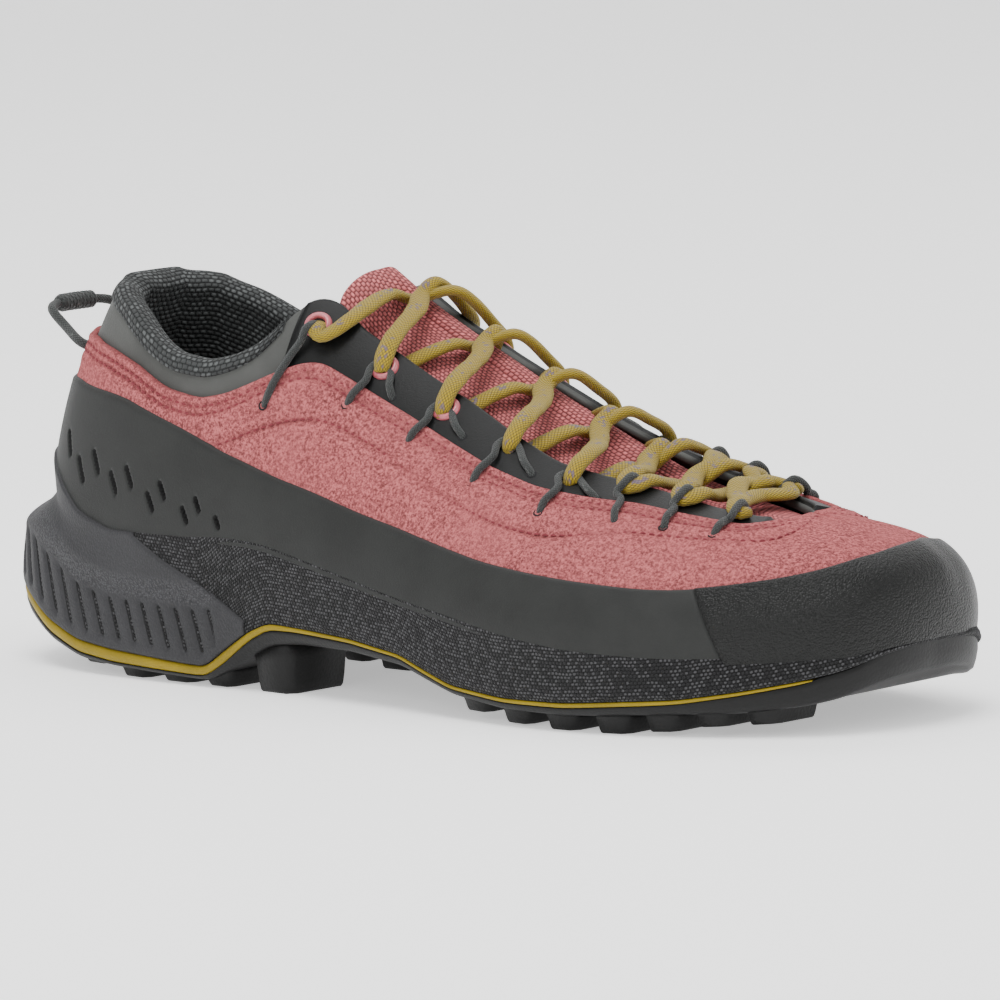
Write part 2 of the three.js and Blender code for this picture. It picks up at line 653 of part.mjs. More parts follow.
const overRim = (thickness) => (u) => {
  const height = rimHeight(u) + clearance;
  return Math.max(shareAtHeight(u, height, seat), shareAtHeight(u, height, seat + thickness));
};

function spanColumns(first, last) {
  const from = Math.max(...[first].flat());
  const to = Math.min(...[last].flat());
  return [first, ...between(from, to).slice(1, -1), last];
}

add("suede_overlay", band({
  columns: RING,
  low: (u) => randTop(u) + girthShare(u, 1.6 * clearance),
  high: suedeTop,
  rows: [0, 0.25, 0.5, 0.75, 1],
  inner: seat + 0.1,
  outer: seat + suedeThickness,
  closed: true,
}), 0xc8737a, 0.95);

const rand = band({
  columns: spanColumns(capSeam.map((k) => across(k - rowGap)), capSeam.map((k) => TURN + k - rowGap)),
  low: overRim(randThickness),
  high: randTop,
  rows: [0, 0.33, 0.67, 1],
  inner: seat,
  outer: seat + randThickness,
});

// Slots through the rand beside the heel: row, share of the girth and length.
const SLOTS = [
  [2.04, 0.268, 6.0], [2.57, 0.231, 5.6], [3.05, 0.208, 5.0], [3.47, 0.190, 4.4], [3.90, 0.173, 3.8],
  [2.29, 0.238, 6.0], [2.83, 0.191, 5.2], [3.32, 0.162, 4.6], [3.74, 0.145, 4.0], [4.15, 0.145, 3.2],
];

// Frame on the upper: x up the girth turned by a slant, z outwards.
function frameAt(u, v, distance, slant = 0) {
  const origin = form(u, v, distance);
  const normal = lastNormal(u, v);
  const up = form(u, v + 0.01, distance).sub(form(u, v - 0.01, distance));
  up.addScaledVector(normal, -up.dot(normal)).normalize();
  const side = normal.clone().cross(up);
  const matrix = new THREE.Matrix4().makeBasis(up, side, normal);
  matrix.multiply(new THREE.Matrix4().makeRotationZ(slant)).setPosition(origin);
  return matrix;
}

let slottedRand = solidOf(rand);
for (const [k, v, length] of SLOTS) {
  for (const u of [k, across(k)]) {
    const slot = new THREE.BoxGeometry(length, slotWidth, 4 * randThickness);
    slot.applyMatrix4(frameAt(u, v, seat + randThickness / 2, -sideOf(u) * 0.42));
    slottedRand = slottedRand.subtract(solidOf(slot));
  }
}
add("rand", geometryFrom(slottedRand), 0x424342, 0.65);

add("toe_cap", band({
  columns: spanColumns(capSeam.map((k) => k + rowGap), capSeam.map((k) => across(k + rowGap))),
  low: overRim(capThickness),
  high: randTop,
  rows: [0, 0.2, 0.4, 0.6, 0.8, 1],
  inner: seat + 0.1,
  outer: (t) => seat + capThickness * (t > 0.9 ? 0.75 : 1),
}), 0x343534, 0.45);

const stayRows = { rearLow: 4.74, rearHigh: 4.52, front: 10.2 };
for (const [name, turn] of [["eyestay_outer", (k) => k], ["eyestay_inner", across]]) {
  const ends = [[turn(stayRows.rearLow), turn(stayRows.rearHigh)], turn(stayRows.front)];
  const [first, last] = name === "eyestay_outer" ? ends : ends.reverse();
  add(name, band({
    columns: spanColumns(first, last),
    low: (u) => suedeTop(u) + girthShare(u, 2 * clearance),
    high: topEdge,
    rows: [0, 0.5, 1],
    inner: seat,
    outer: seat + stayThickness,
  }), 0x3e403e, 0.7);
}

const liningRow = 4.5;
const liningDepth = 34;
const paddingAt = (t) => [1.4, 4.2, 5.5, 5.2, 3.4][Math.round(t * 4)] * liningThickness / 5.5;
add("collar_lining", band({
  columns: spanColumns(across(liningRow), TURN + liningRow),
  low: (u) => topEdge(u) - girthShare(u, liningDepth),
  high: (u) => topEdge(u) + girthShare(u, bindingRise),
  rows: [0, 0.25, 0.5, 0.75, 1],
  inner: (t) => -wall - 2 * seat - paddingAt(t),
  outer: -wall - 1.6 * seat,
}), 0x4c4d4d, 0.95);

// TONGUE. Rows of the last, share of the girth at its sides, and thickness as a share.
const TONGUE = [
  [4.62, 0.86, 1.2], [4.7, 0.79, 1.8], [4.85, 0.725, 1.8], [5.05, 0.68, 1.5], [5.3, 0.65, 1.2],
  [5.8, 0.64, 1], [6.5, 0.64, 1], [7.2, 0.64, 0.9], [8, 0.68, 0.9], [9, 0.70, 0.8], [10, 0.74, 0.7],
  [10.7, 0.84, 0.6], [11.4, 0.90, 0.5],
];
const tongueDrop = wall + 1.6 * seat;
const crossShares = [-1, -0.8, -0.55, -0.25, 0, 0.25, 0.55, 0.8, 1];
function tongueGrid(depth) {
  return TONGUE.map(([k, side, share]) => crossShares.map((s) => {
    const u = s < 0 ? k : across(k);
    const thin = 1 - 0.55 * Math.abs(s) ** 4;
    const distance = -tongueDrop - depth * share * tongueThickness * thin;
    return form(u, 1 - Math.abs(s) * (1 - side), distance);
  }));
}

function sheet(topGrid, bottomGrid) {
  const faces = [];
  const [m, n] = [topGrid.length - 1, topGrid[0].length - 1];
  for (let i = 0; i < m; i += 1) {
    for (let j = 0; j < n; j += 1) {
      faces.push([topGrid[i][j], topGrid[i + 1][j], topGrid[i + 1][j + 1], topGrid[i][j + 1]]);
      faces.push([bottomGrid[i + 1][j], bottomGrid[i][j], bottomGrid[i][j + 1], bottomGrid[i + 1][j + 1]]);
    }
    faces.push([bottomGrid[i][0], bottomGrid[i + 1][0], topGrid[i + 1][0], topGrid[i][0]]);
    faces.push([topGrid[i][n], topGrid[i + 1][n], bottomGrid[i + 1][n], bottomGrid[i][n]]);
  }
  for (let j = 0; j < n; j += 1) {
    faces.push([topGrid[0][j], topGrid[0][j + 1], bottomGrid[0][j + 1], bottomGrid[0][j]]);
    faces.push([bottomGrid[m][j], bottomGrid[m][j + 1], topGrid[m][j + 1], topGrid[m][j]]);
  }
  return geometryOf(faces);
}
add("tongue", sheet(tongueGrid(0), tongueGrid(1)), 0xc4787e, 0.9);

// Fittings. Lacing places: row and share of the girth, from the ankle to the toe.
const LACING = {
  outer: [
    [4.82, 0.654], [5.57, 0.657], [6.28, 0.657], [7.04, 0.677], [7.75, 0.689], [8.31, 0.738],
    [8.97, 0.775], [9.75, 0.785],
  ],
  inner: [
    [4.98, 0.654], [5.62, 0.657], [6.22, 0.657], [6.82, 0.672], [7.42, 0.680], [8.02, 0.72],
    [8.70, 0.768], [9.45, 0.785],
  ],
};
// Where the legs of each loop enter the suede: offset in rows and share of the girth.
const LOOP_LEGS = [
  [-0.28, 0.424, 0.16, 0.60], [-0.19, 0.519, 0.19, 0.60], [-0.18, 0.521, 0.29, 0.615],
  [-0.14, 0.509, 0.34, 0.625], [-0.06, 0.521, 0.35, 0.655], [0.17, 0.581, 0.44, 0.67],
  [0.05, 0.62, 0.48, 0.70], [-0.12, 0.635, 0.33, 0.70],
];

const cordLift = seat + suedeThickness + clearance + cordRadius;

function cordAlong(points, radius, steps, sides) {
  const shape = new THREE.Shape();
  for (let i = 0; i < sides; i += 1) {
    const angle = (2 * Math.PI * i) / sides;
    const [x, y] = [radius * Math.cos(angle), radius * Math.sin(angle)];
    if (i === 0) shape.moveTo(x, y);
    else shape.lineTo(x, y);
  }
  const path = new THREE.CatmullRomCurve3(points, false, "centripetal");
  return new THREE.ExtrudeGeometry(shape, { steps, extrudePath: path, bevelEnabled: false });
}

for (const [side, turn] of [["outer", (k) => k], ["inner", across]]) {
  LACING[side].forEach(([k, v], i) => {
    if (i < eyeletPairs) {
      const ring = new THREE.LatheGeometry([
        new THREE.Vector2(eyeletHole, 0), new THREE.Vector2(eyeletRadius, 0),
        new THREE.Vector2(eyeletRadius - 0.4, eyeletHeight), new THREE.Vector2(eyeletHole, eyeletHeight),
        new THREE.Vector2(eyeletHole, 0),
      ], 10);
      ring.rotateX(Math.PI / 2);
      ring.applyMatrix4(frameAt(turn(k), v, seat + stayThickness + clearance));
      add(`eyelet_${side}_${i + 1}`, geometryFrom(solidOf(ring)), 0xc66f74, 0.5);
    }
    const [back, low, front, high] = LOOP_LEGS[i];
    const topShare = i < eyeletPairs ? v - girthShare(turn(k), eyeletRadius + cordRadius + clearance) : v;
    const rear = [[k + back, low], [k + back * 0.5, low + (topShare - low) * 0.6], [k, topShare]];
    const fore = [[k, topShare], [k + front * 0.5, (topShare + high) / 2 + 0.004], [k + front, high]];
    const legs = (i === 0 ? [rear] : [rear, fore]).map((leg) => {
      const points = leg.map(([row, share]) => form(turn(row), Math.min(share, topShare), cordLift));
      return solidOf(cordAlong(points, cordRadius, 2, 5));
    });
    const loop = legs.reduce((all, leg) => all.add(leg));
    add(`lace_loop_${side}_${i + 1}`, geometryFrom(loop), 0x464b48, 0.8);
  });
}

// Lace: strands that cross above the tongue, joined where they meet.
const laceLift = seat + stayThickness + 1.6 * seat + laceRadius;
function strand(from, to) {
  const [k0, v0] = from.place;
  const [k1, v1] = to.place;
  const inset = girthShare(k0, laceRadius + cordRadius + eyeletRadius * 0.5 + clearance);
  const s0 = -(1 - v0 - inset);
  const s1 = 1 - v1 - inset;
  const points = [0, 0.2, 0.5, 0.8, 1].map((t) => {
    const s = (s0 + (s1 - s0) * t) * from.sign;
    const k = k0 + (k1 - k0) * t;
    return form(s < 0 ? k : across(k), 1 - Math.abs(s), laceLift);
  });
  return solidOf(cordAlong(points, laceRadius, 3, 5));
}
let lace = null;
for (let i = 0; i + 1 < LACING.outer.length; i += 1) {
  const pairs = [
    strand({ place: LACING.outer[i], sign: 1 }, { place: LACING.inner[i + 1] }),
    strand({ place: LACING.inner[i], sign: -1 }, { place: LACING.outer[i + 1] }),
  ];
  for (const piece of pairs) lace = lace ? lace.add(piece) : piece;
}
add("lace", geometryFrom(lace, 0.2), 0xb2962d, 0.85);

// Pull loop behind the heel: a cord from side to side with a sleeve on its bar.
const pullPlace = [1, 0.4545]; // row and share of the girth where its cord leaves the suede
const pullLift = seat + suedeThickness + clearance;
const pullLegs = [1, -1].map((sign) => {
  const u = sign > 0 ? pullPlace[0] : across(pullPlace[0]);
  const root = form(u, pullPlace[1], pullLift);
  const collar = form(u, pullPlace[1], pullLift + 2 * pullRadius);
  const bar = form(0, pullPlace[1], 0);
  const at = (back, side, up) => new THREE.Vector3(
    bar.x - pullStand * back, -sign * 0.5 * pullWidth * side, bar.z + pullRise * up);
  return [root, collar, at(0.5, 1.1, 0.5), at(0.85, 1, 0.9), at(1, 0.6, 1)];
});
const pullPath = [...pullLegs[0], ...pullLegs[1].reverse()];
const sleeveEnds = [pullPath[4], pullPath[5]];
const sleevePath = [
  sleeveEnds[0], sleeveEnds[0].clone().lerp(sleeveEnds[1], 0.5).add(new THREE.Vector3(-0.6, 0, 0)),
  sleeveEnds[1],
];
let heelLoop = solidOf(cordAlong(pullPath, pullRadius, 14, 8));
heelLoop = heelLoop.add(solidOf(cordAlong(sleevePath, pullSleeve, 3, 8)));
add("heel_loop", geometryFrom(heelLoop), 0x3c3f3d, 0.85);

// Placing.
const box = new THREE.Box3().setFromObject(shoe);
shoe.position.set(-(box.min.x + box.max.x) / 2, -(box.min.y + box.max.y) / 2, -box.min.z);
const part = new THREE.Group();
part.add(shoe);

export default part;
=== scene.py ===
"""Looks of a right approach shoe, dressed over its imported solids.

Lengths are in millimetres until a mesh is written. The frame is the one of the solids:
x from the heel to the toe, y towards the inner side of the foot, z up from the ground.
"""

import json
import logging
import math
from dataclasses import dataclass, field
from enum import Enum
from typing import Any, Callable, Sequence

import bmesh
import bpy
import numpy as np
from mathutils import Matrix, Vector

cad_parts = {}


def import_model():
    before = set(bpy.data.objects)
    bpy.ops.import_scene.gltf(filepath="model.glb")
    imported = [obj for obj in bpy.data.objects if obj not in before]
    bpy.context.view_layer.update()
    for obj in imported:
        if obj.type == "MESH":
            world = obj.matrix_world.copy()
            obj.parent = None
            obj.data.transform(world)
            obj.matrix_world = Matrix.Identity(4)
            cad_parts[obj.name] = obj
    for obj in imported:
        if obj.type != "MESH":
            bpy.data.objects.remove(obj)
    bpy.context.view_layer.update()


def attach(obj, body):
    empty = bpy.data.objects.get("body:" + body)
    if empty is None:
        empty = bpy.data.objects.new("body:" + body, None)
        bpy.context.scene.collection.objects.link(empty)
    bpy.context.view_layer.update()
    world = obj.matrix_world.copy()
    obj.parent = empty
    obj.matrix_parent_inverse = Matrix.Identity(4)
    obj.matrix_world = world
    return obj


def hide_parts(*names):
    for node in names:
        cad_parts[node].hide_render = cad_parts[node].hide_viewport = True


Array = np.ndarray
Piece = bpy.types.Object
Curve = Callable[[Array], Array]
Detail = Callable[[Array, Array, Array], tuple[Array, dict[str, Array]]]
Row = tuple[float, ...]  # one line of a table
Colour = tuple[float, float, float, float]
LOG = logging.getLogger("approach_shoe")

SHIFT = np.array([-139.8218, 2.3280, 0.0])  # from the drawing's heel corner to the part's middle
TURN = 26.0  # girth positions round the whole foot
LAST_ROW = 13.0
AROUND = [0, 3, 2, 1]  # a face's corners the other way round, from the same one


def smoothstep(value: Array, low: float, high: float) -> Array:
    """Returns value eased from 0 at low to 1 at high."""
    share = np.clip((np.asarray(value, float) - low) / (high - low), 0.0, 1.0)
    return share * share * (3.0 - 2.0 * share)


def unit(vectors: Array) -> Array:
    """Returns the vectors scaled to length one."""
    return vectors / np.maximum(np.linalg.norm(vectors, axis=-1, keepdims=True), 1e-9)


def run_of(line: Array) -> Array:
    """Returns the length along a line at each of its points."""
    return np.concatenate([[0.0], np.cumsum(np.linalg.norm(np.diff(line, axis=0), axis=-1))])


def climb_of(grid: Array) -> Array:
    """Returns the length up each column of a grid at each of its points."""
    step = np.linalg.norm(np.diff(grid, axis=1), axis=-1)
    return np.concatenate([np.zeros((len(grid), 1)), np.cumsum(step, axis=1)], 1)


def on_line(places: Array, run: Array, line: Array) -> Array:
    """Returns the points of a line at lengths along it."""
    return np.stack([np.interp(places, run, line[:, n]) for n in range(3)], -1)


def way_round(normal: Array, count: int, closed: bool) -> Array:
    """Returns directions all round a normal, the first one again at the end where closed."""
    along = unit(np.cross(normal, [0, 0, 1.0]))
    other = np.cross(normal, along)
    angle = np.linspace(0, 2 * math.pi, count, endpoint=closed)[:, None]
    return along * np.cos(angle) + other * np.sin(angle)


def fold(u: Array) -> tuple[Array, Array]:
    """Returns the last's row and the side (-1 outer, 1 inner) of each girth position."""
    turn = np.mod(u, TURN)
    outer = turn <= LAST_ROW
    return np.where(outer, turn, TURN - turn), np.where(outer, -1.0, 1.0)


class Side(Enum):
    """The two sides of the shoe."""

    OUTER = -1
    INNER = 1

    def girth(self, row: float | Array) -> float | Array:
        """Returns the girth position of a row on this side."""
        return row if self is Side.OUTER else TURN - row

    @property
    def other(self) -> "Side":
        """The opposite side."""
        return Side(-self.value)

    @property
    def label(self) -> str:
        """The side's name in the names of pieces."""
        return self.name.lower()


BOTH = tuple(Side)


class Last:
    """The foot form: rows of sections from the heel to the toe."""

    NAMES = ("x", "y", "half", "z", "flare", "shoulder", "out", "in", "ridge_x", "ridge_z",
             "ridge_y")
    ROWS = np.array([
        [12.5, 0, 0, 30, 0, 56, .50, .50, 60, 118, 0],
        [17, 0, 16, 30, 1, 56, .58, .58, 61, 118, 0],
        [32, 0, 28, 29.5, 3, 57, .74, .74, 66, 118, 0],
        [58, -.7, 33, 28.5, 3.5, 59, .92, .92, 76, 117, 1],
        [86, -3, 33, 27, 3.5, 58, .86, .88, 92, 113, 3],
        [114, -4.7, 34, 25, 4, 51, .66, .76, 114, 101.5, 5],
        [142, -5.5, 36.5, 22, 5, 43, .60, .72, 142, 86, 6],
        [170, -5, 41, 19.5, 5, 38, .58, .62, 170, 72, 4.64],
        [198, -3.5, 45.5, 17.5, 5, 35, .60, .56, 196, 59.9, 4],
        [224, -1, 45, 16.5, 5, 34, .66, .50, 216, 53.7, 3.5],
        [246, 1, 38.5, 17, 5, 36, .74, .49, 232, 49.6, 2.73],
        [264, 2.5, 28, 18, 4.5, 39, .80, .56, 242, 47, 2.73],
        [273, 3.5, 15.5, 19, 4, 41, .84, .64, 247, 46, 2.82],
        [275.5, 4, 0, 19.5, 4, 42, .86, .66, 248.5, 45.7, 2.82],
    ])

    def __init__(self) -> None:
        """Adds the mirrored rows that close the form at the heel and the toe."""
        self.table: dict[str, Array] = {}
        for index, name in enumerate(self.NAMES):
            other = {"out": "in", "in": "out"}.get(name, name)
            mirror = self.ROWS[:, self.NAMES.index(other)]
            sign = -1.0 if name == "half" else 1.0
            column = self.ROWS[:, index]
            self.table[name] = np.concatenate([[sign * mirror[1]], column, [sign * mirror[-2]]])

    def section(self, name: str, row: Array) -> Array:
        """Returns the named size at each row, smooth between the sections."""
        values = self.table[name]
        i = np.clip(np.floor(row).astype(int), 0, int(LAST_ROW) - 1)
        t = row - i
        a, b, c, d = (values[i + n] for n in range(4))
        square = (2 * a - 5 * b + 4 * c - d) * t * t
        return 0.5 * (2 * b + (c - a) * t + square + (-a + 3 * b - 3 * c + d) * t ** 3)

    def feather(self, u: Array) -> Array:
        """Returns the edge of the sole of the foot at each girth position."""
        row, side = fold(u)
        y = self.section("y", row) + side * self.section("half", row)
        return np.stack([self.section("x", row), y, self.section("z", row)], -1)

    def outward(self, u: Array) -> Array:
        """Returns the level direction away from the foot at each girth position."""
        along = self.feather(u + 0.002) - self.feather(u - 0.002)
        return unit(np.stack([along[..., 1], -along[..., 0], np.zeros_like(along[..., 0])], -1))

    def slope(self, row: Array) -> Array:
        """Returns the rise of the ridge line per millimetre at each row."""
        at = np.clip(row, 0.1, LAST_ROW - 0.1)
        rise = self.section("ridge_z", at + 0.05) - self.section("ridge_z", at - 0.05)
        return rise / (self.section("ridge_x", at + 0.05) - self.section("ridge_x", at - 0.05))

    def point(self, u: Array, v: Array) -> Array:
        """Returns the form's point at girth position u and share v of the way to the ridge."""
        u, v = np.broadcast_arrays(np.asarray(u, float), np.asarray(v, float))
        row, side = fold(u)
        bottom = self.feather(u)
        ridge = np.stack([self.section(n, row) for n in ("ridge_x", "ridge_y", "ridge_z")], -1)
        out = bottom - ridge
        shoulder = bottom + self.outward(u) * self.section("flare", row)[..., None]
        shoulder[..., 2] = self.section("shoulder", row)
        near, far = self.section("out", row), self.section("in", row)
        far = far + (near - far) * smoothstep(row, 12.3, LAST_ROW)
        reach = np.where(side < 0, near, far)[..., None]
        fall = self.slope(row) * out[..., 0]
        crown = ridge + reach * np.stack([out[..., 0], out[..., 1], fall], -1)
        v = v[..., None]
        w = 1 - v
        return w ** 3 * bottom + 3 * w * w * v * shoulder + 3 * w * v * v * crown + v ** 3 * ridge

    def normal(self, u: Array, v: Array) -> Array:
        """Returns the form's outward direction, eased into the ridge's own at the top."""
        u, v = np.broadcast_arrays(np.asarray(u, float), np.asarray(v, float))
        safe = np.minimum(v, 0.99)
        along = self.point(u + 0.004, safe) - self.point(u - 0.004, safe)
        up = self.point(u, safe + 0.004) - self.point(u, safe - 0.004)
        row, _ = fold(u)
        slope = self.slope(row)
        ridge = unit(np.stack([-slope, np.zeros_like(slope), np.ones_like(slope)], -1))
        mix = smoothstep(v, 0.93, 1.0)[..., None]
        return unit(unit(np.cross(along, up)) * (1 - mix) + ridge * mix)

    def form(self, u: Array, v: Array, distance: Array | float) -> Array:
        """Returns the form grown outwards by a distance."""
        return self.point(u, v) + self.normal(u, v) * np.asarray(distance, float)[..., None]

    def girth(self, u: Array) -> Array:
        """Returns the length from the feather edge to the ridge at each girth position."""
        shares = np.linspace(0, 1, 25)
        line = self.point(np.asarray(u, float)[..., None], shares)
        return np.linalg.norm(np.diff(line, axis=-2), axis=-1).sum(-1)


LAST = Last()


class Edge:
    """A line on the upper: share of the girth by row of the last, for each side."""

    GRID = np.linspace(-1.0, LAST_ROW + 1.0, 1401)

    def __init__(self, outer: Sequence[Row], inner: Sequence[Row] | None = None,
                 ease: float = 0.07) -> None:
        """Smooths each side's table over a few hundredths of a row.

        Args:
            outer: pairs of row and share on the outer side.
            inner: the same on the inner side, or None where both are alike.
            ease: width of the smoothing, in rows.
        """
        self.sides = [self._smooth(table, ease) for table in (outer, inner or outer)]

    def _smooth(self, table: Sequence[Row], ease: float) -> Array:
        """Returns the table's values on the grid, smoothed."""
        rows, shares = np.array(table).T
        at = np.abs(self.GRID)
        at = np.where(at > LAST_ROW, 2 * LAST_ROW - at, at)
        values = np.interp(at, rows, shares)
        reach = int(3 * ease * 100)
        kernel = np.exp(-0.5 * (np.arange(-reach, reach + 1) / (100 * ease)) ** 2)
        padded = np.pad(values, reach, mode="edge")
        return np.convolve(padded, kernel / kernel.sum(), mode="valid")

    def __call__(self, u: Array) -> Array:
        """Returns the line's share at each girth position."""
        row, side = fold(u)
        return np.where(side < 0, *(np.interp(row, self.GRID, values) for values in self.sides))

    def moved(self, length: float) -> Curve:
        """Returns the line moved up by a length in millimetres."""
        return lambda u: self(u) + length / LAST.girth(u)


TOP_OUTER = {
    0: .62, 1: .62, 1.6: .605, 2: .59, 2.5: .555, 3: .492, 3.4: .458, 3.8: .455, 4.1: .487,
    4.35: .54, 4.5: .61, 4.6: .70, 4.8: .742, 5: .742, 5.2: .715, 5.6: .72, 6: .72, 6.5: .724,
    7: .714, 7.5: .714, 8: .765, 8.5: .80, 9: .815, 9.5: .82, 10: .845, 10.3: .895, 10.7: .965,
    10.9: 1, 13: 1,
}
TOP_INNER = TOP_OUTER | {2: .585, 2.5: .545, 3: .485, 3.4: .452, 3.8: .45, 7.5: .724}
TOP_EDGE = Edge(list(TOP_OUTER.items()), list(TOP_INNER.items()), ease=0.08)
SUEDE_TOP = Edge([
    [0, .50], [1, .50], [1.6, .494], [2, .486], [2.5, .465], [3, .432], [3.4, .398], [3.8, .39],
    [4.1, .415], [4.35, .457], [4.6, .51], [4.8, .553], [5, .581], [5.2, .581], [6, .589],
    [7, .583], [7.5, .598], [8, .645], [8.5, .695], [9, .715], [9.5, .73], [9.9, .74], [10.3, .83],
    [10.7, .945], [10.9, 1], [13, 1],
])
RAND_TOP = Edge([
    [0, .405], [1.5, .405], [2, .398], [2.8, .373], [3.4, .342], [4.1, .301], [4.8, .291],
    [5.8, .303], [6.3, .311], [7.3, .308], [7.9, .323], [8.6, .335], [9.3, .342], [9.6, .349],
    [10, .371], [10.6, .413], [11.2, .466], [11.9, .531], [12.5, .588], [13, .61],
], ease=0.12)
STITCH_LOW = Edge([
    [0, .36], [4.06, .298], [4.44, .358], [4.84, .421], [5.15, .456], [5.44, .466], [5.86, .469],
    [6.37, .449], [6.89, .434], [7.38, .431], [7.82, .454], [8.3, .51], [8.78, .576], [9.24, .592],
    [9.71, .613], [10.35, .66], [10.7, .78], [11.07, .97], [13, .97],
], ease=0.1)


@dataclass
class Skin:
    """A grid of points with its surface measures, ready to become a mesh."""

    points: Array  # columns, rows, 3
    uv: Array  # columns, rows, 2, in millimetres
    marks: dict[str, Array] = field(default_factory=dict)
    under: Array | None = None  # points of the hidden face
    wraps: bool = False


def write_mesh(name: str, verts: Array, faces: Array, uv: Array | None = None,
               marks: dict[str, Array] | None = None, caps: Sequence[list[int]] = ()) -> Piece:
    """Makes a smooth mesh object.

    Args:
        name: name of the piece.
        verts: points in the drawing's millimetres.
        faces: four corners a row.
        uv: flat position of each point.
        marks: named values of each point.
        caps: faces with another number of corners.

    Returns:
        The object, in metres and in the frame of the solids.
    """
    mesh = bpy.data.meshes.new(name)
    mesh.from_pydata(((verts + SHIFT) * 0.001).tolist(), [], faces.tolist() + list(caps))
    if uv is not None:
        corner = np.empty(len(mesh.loops), dtype=np.int32)
        mesh.loops.foreach_get("vertex_index", corner)
        layer = mesh.uv_layers.new(name="UVMap").data
        layer.foreach_set("uv", uv[corner].astype(np.float32).ravel())
    for key, values in (marks or {}).items():
        attribute = mesh.attributes.new(key, "FLOAT", "POINT")
        attribute.data.foreach_set("value", values.astype(np.float32).ravel())
    mesh.polygons.foreach_set("use_smooth", [True] * len(mesh.polygons))
    mesh.validate()
    return linked(name, mesh)


def linked(name: str, data: Any) -> Piece:
    """Returns a new object of the scene that holds the data."""
    made = bpy.data.objects.new(name, data)
    bpy.context.scene.collection.objects.link(made)
    return made


def tidy_mesh(piece: Piece) -> Piece:
    """Merges doubled points, turns all faces outwards and returns the piece."""
    work = bmesh.new()
    work.from_mesh(piece.data)
    bmesh.ops.remove_doubles(work, verts=work.verts, dist=2e-6)
    bmesh.ops.dissolve_degenerate(work, edges=work.edges, dist=1e-6)
    bmesh.ops.recalc_face_normals(work, faces=work.faces)
    work.to_mesh(piece.data)
    work.free()
    return piece


def grid_faces(columns: int, rows: int, wraps: bool, start: int = 0, loops: bool = False) -> Array:
    """Returns the four corners of each cell of a grid, column by column.

    Args:
        columns: number of columns.
        rows: number of rows.
        wraps: whether the last column meets the first.
        start: number of the first point.
        loops: whether the last row meets the first.

    Returns:
        Four corners a cell.
    """
    i = np.arange(columns if wraps else columns - 1)[:, None]
    j = np.arange(rows if loops else rows - 1)[None]
    n, m = (i + 1) % columns, (j + 1) % rows
    corners = [i * rows + j, n * rows + j, n * rows + m, i * rows + m]
    return start + np.stack(corners, -1).reshape(-1, 4)


def skin_object(name: str, skin: Skin) -> Piece:
    """Returns a closed piece from a skin and its hidden face."""
    columns, rows, _ = skin.points.shape
    count = columns * rows
    faces = [grid_faces(columns, rows, skin.wraps)]
    verts, uv = [skin.points.reshape(-1, 3)], [skin.uv.reshape(-1, 2)]
    if skin.under is not None:
        faces.append(grid_faces(columns, rows, skin.wraps, count)[:, ::-1])
        verts.append(skin.under.reshape(-1, 3))
        uv.append(uv[0])
        i = np.arange(columns if skin.wraps else columns - 1)
        n = (i + 1) % columns
        for j, turn in ((0, False), (rows - 1, True)):
            a, b = i * rows + j, n * rows + j
            quads = np.stack([a, a + count, b + count, b], -1)
            faces.append(quads[:, ::-1] if turn else quads)
        if not skin.wraps:
            j = np.arange(rows - 1)
            for first, turn in ((0, True), ((columns - 1) * rows, False)):
                here = first + j
                quads = np.stack([here, here + count, here + 1 + count, here + 1], -1)
                faces.append(quads[:, ::-1] if turn else quads)
    marks = {key: np.tile(values.ravel(), len(verts)) for key, values in skin.marks.items()}
    return write_mesh(name, np.concatenate(verts), np.concatenate(faces), np.concatenate(uv), marks)


def joined(pieces: Sequence[Piece], name: str) -> Piece:
    """Returns the pieces as one object."""
    with bpy.context.temp_override(active_object=pieces[0], selected_editable_objects=list(pieces)):
        bpy.ops.object.join()
    pieces[0].name = name
    pieces[0].data.name = name
    return pieces[0]


def spaced(length: float, step: float, ends: Sequence[float]) -> Array:
    """Returns shares from 0 to 1 along a length, with extra places near both ends."""
    near = np.array([e for e in ends if e < length * 0.4])
    last = near[-1] if len(near) else 0.0
    count = max(int(round((length - 2 * last) / step)), 2)
    middle = np.linspace(last, length - last, count + 1)
    return np.unique(np.concatenate([[0.0], near, middle, length - near, [length]])) / length


def even_columns(start: float, end: float, step: float, share: float = 0.35) -> Array:
    """Returns girth positions between start and end, evenly far apart on the form."""
    fine = np.linspace(start, end, 3000)
    run = run_of(LAST.point(fine, share))
    count = max(int(run[-1] / step), 4)
    return np.interp(np.linspace(0, run[-1], count + 1), run, fine)


def rim_gap(rims: Sequence[bool], climb: Array, height: Array, run: Array) -> Array:
    """Returns how far each point of a layer lies from its nearest rolled edge.

    Args:
        rims: whether its low and high edges, its start and its end are rolled.
        climb: length of each point from the low edge.
        height: length from the low edge to the high one.
        run: length of each column from the start.

    Returns:
        The distances, large where no edge is rolled.
    """
    edge = np.full(climb.shape, 1e3)
    for on, gap in zip(rims, (climb, height - climb, run[:, None], run[-1] - run[:, None])):
        if on:
            edge = np.minimum(edge, gap + np.zeros_like(edge))
    return edge


def rolled(edge: Array, roll: float, inner: float, outer: float) -> Array:
    """Returns the lift of a layer whose edges are rounded over a width."""
    bend = np.clip(1 - edge / roll, 0, 1)
    return inner + (outer - inner) * np.sqrt(1 - bend ** 2)


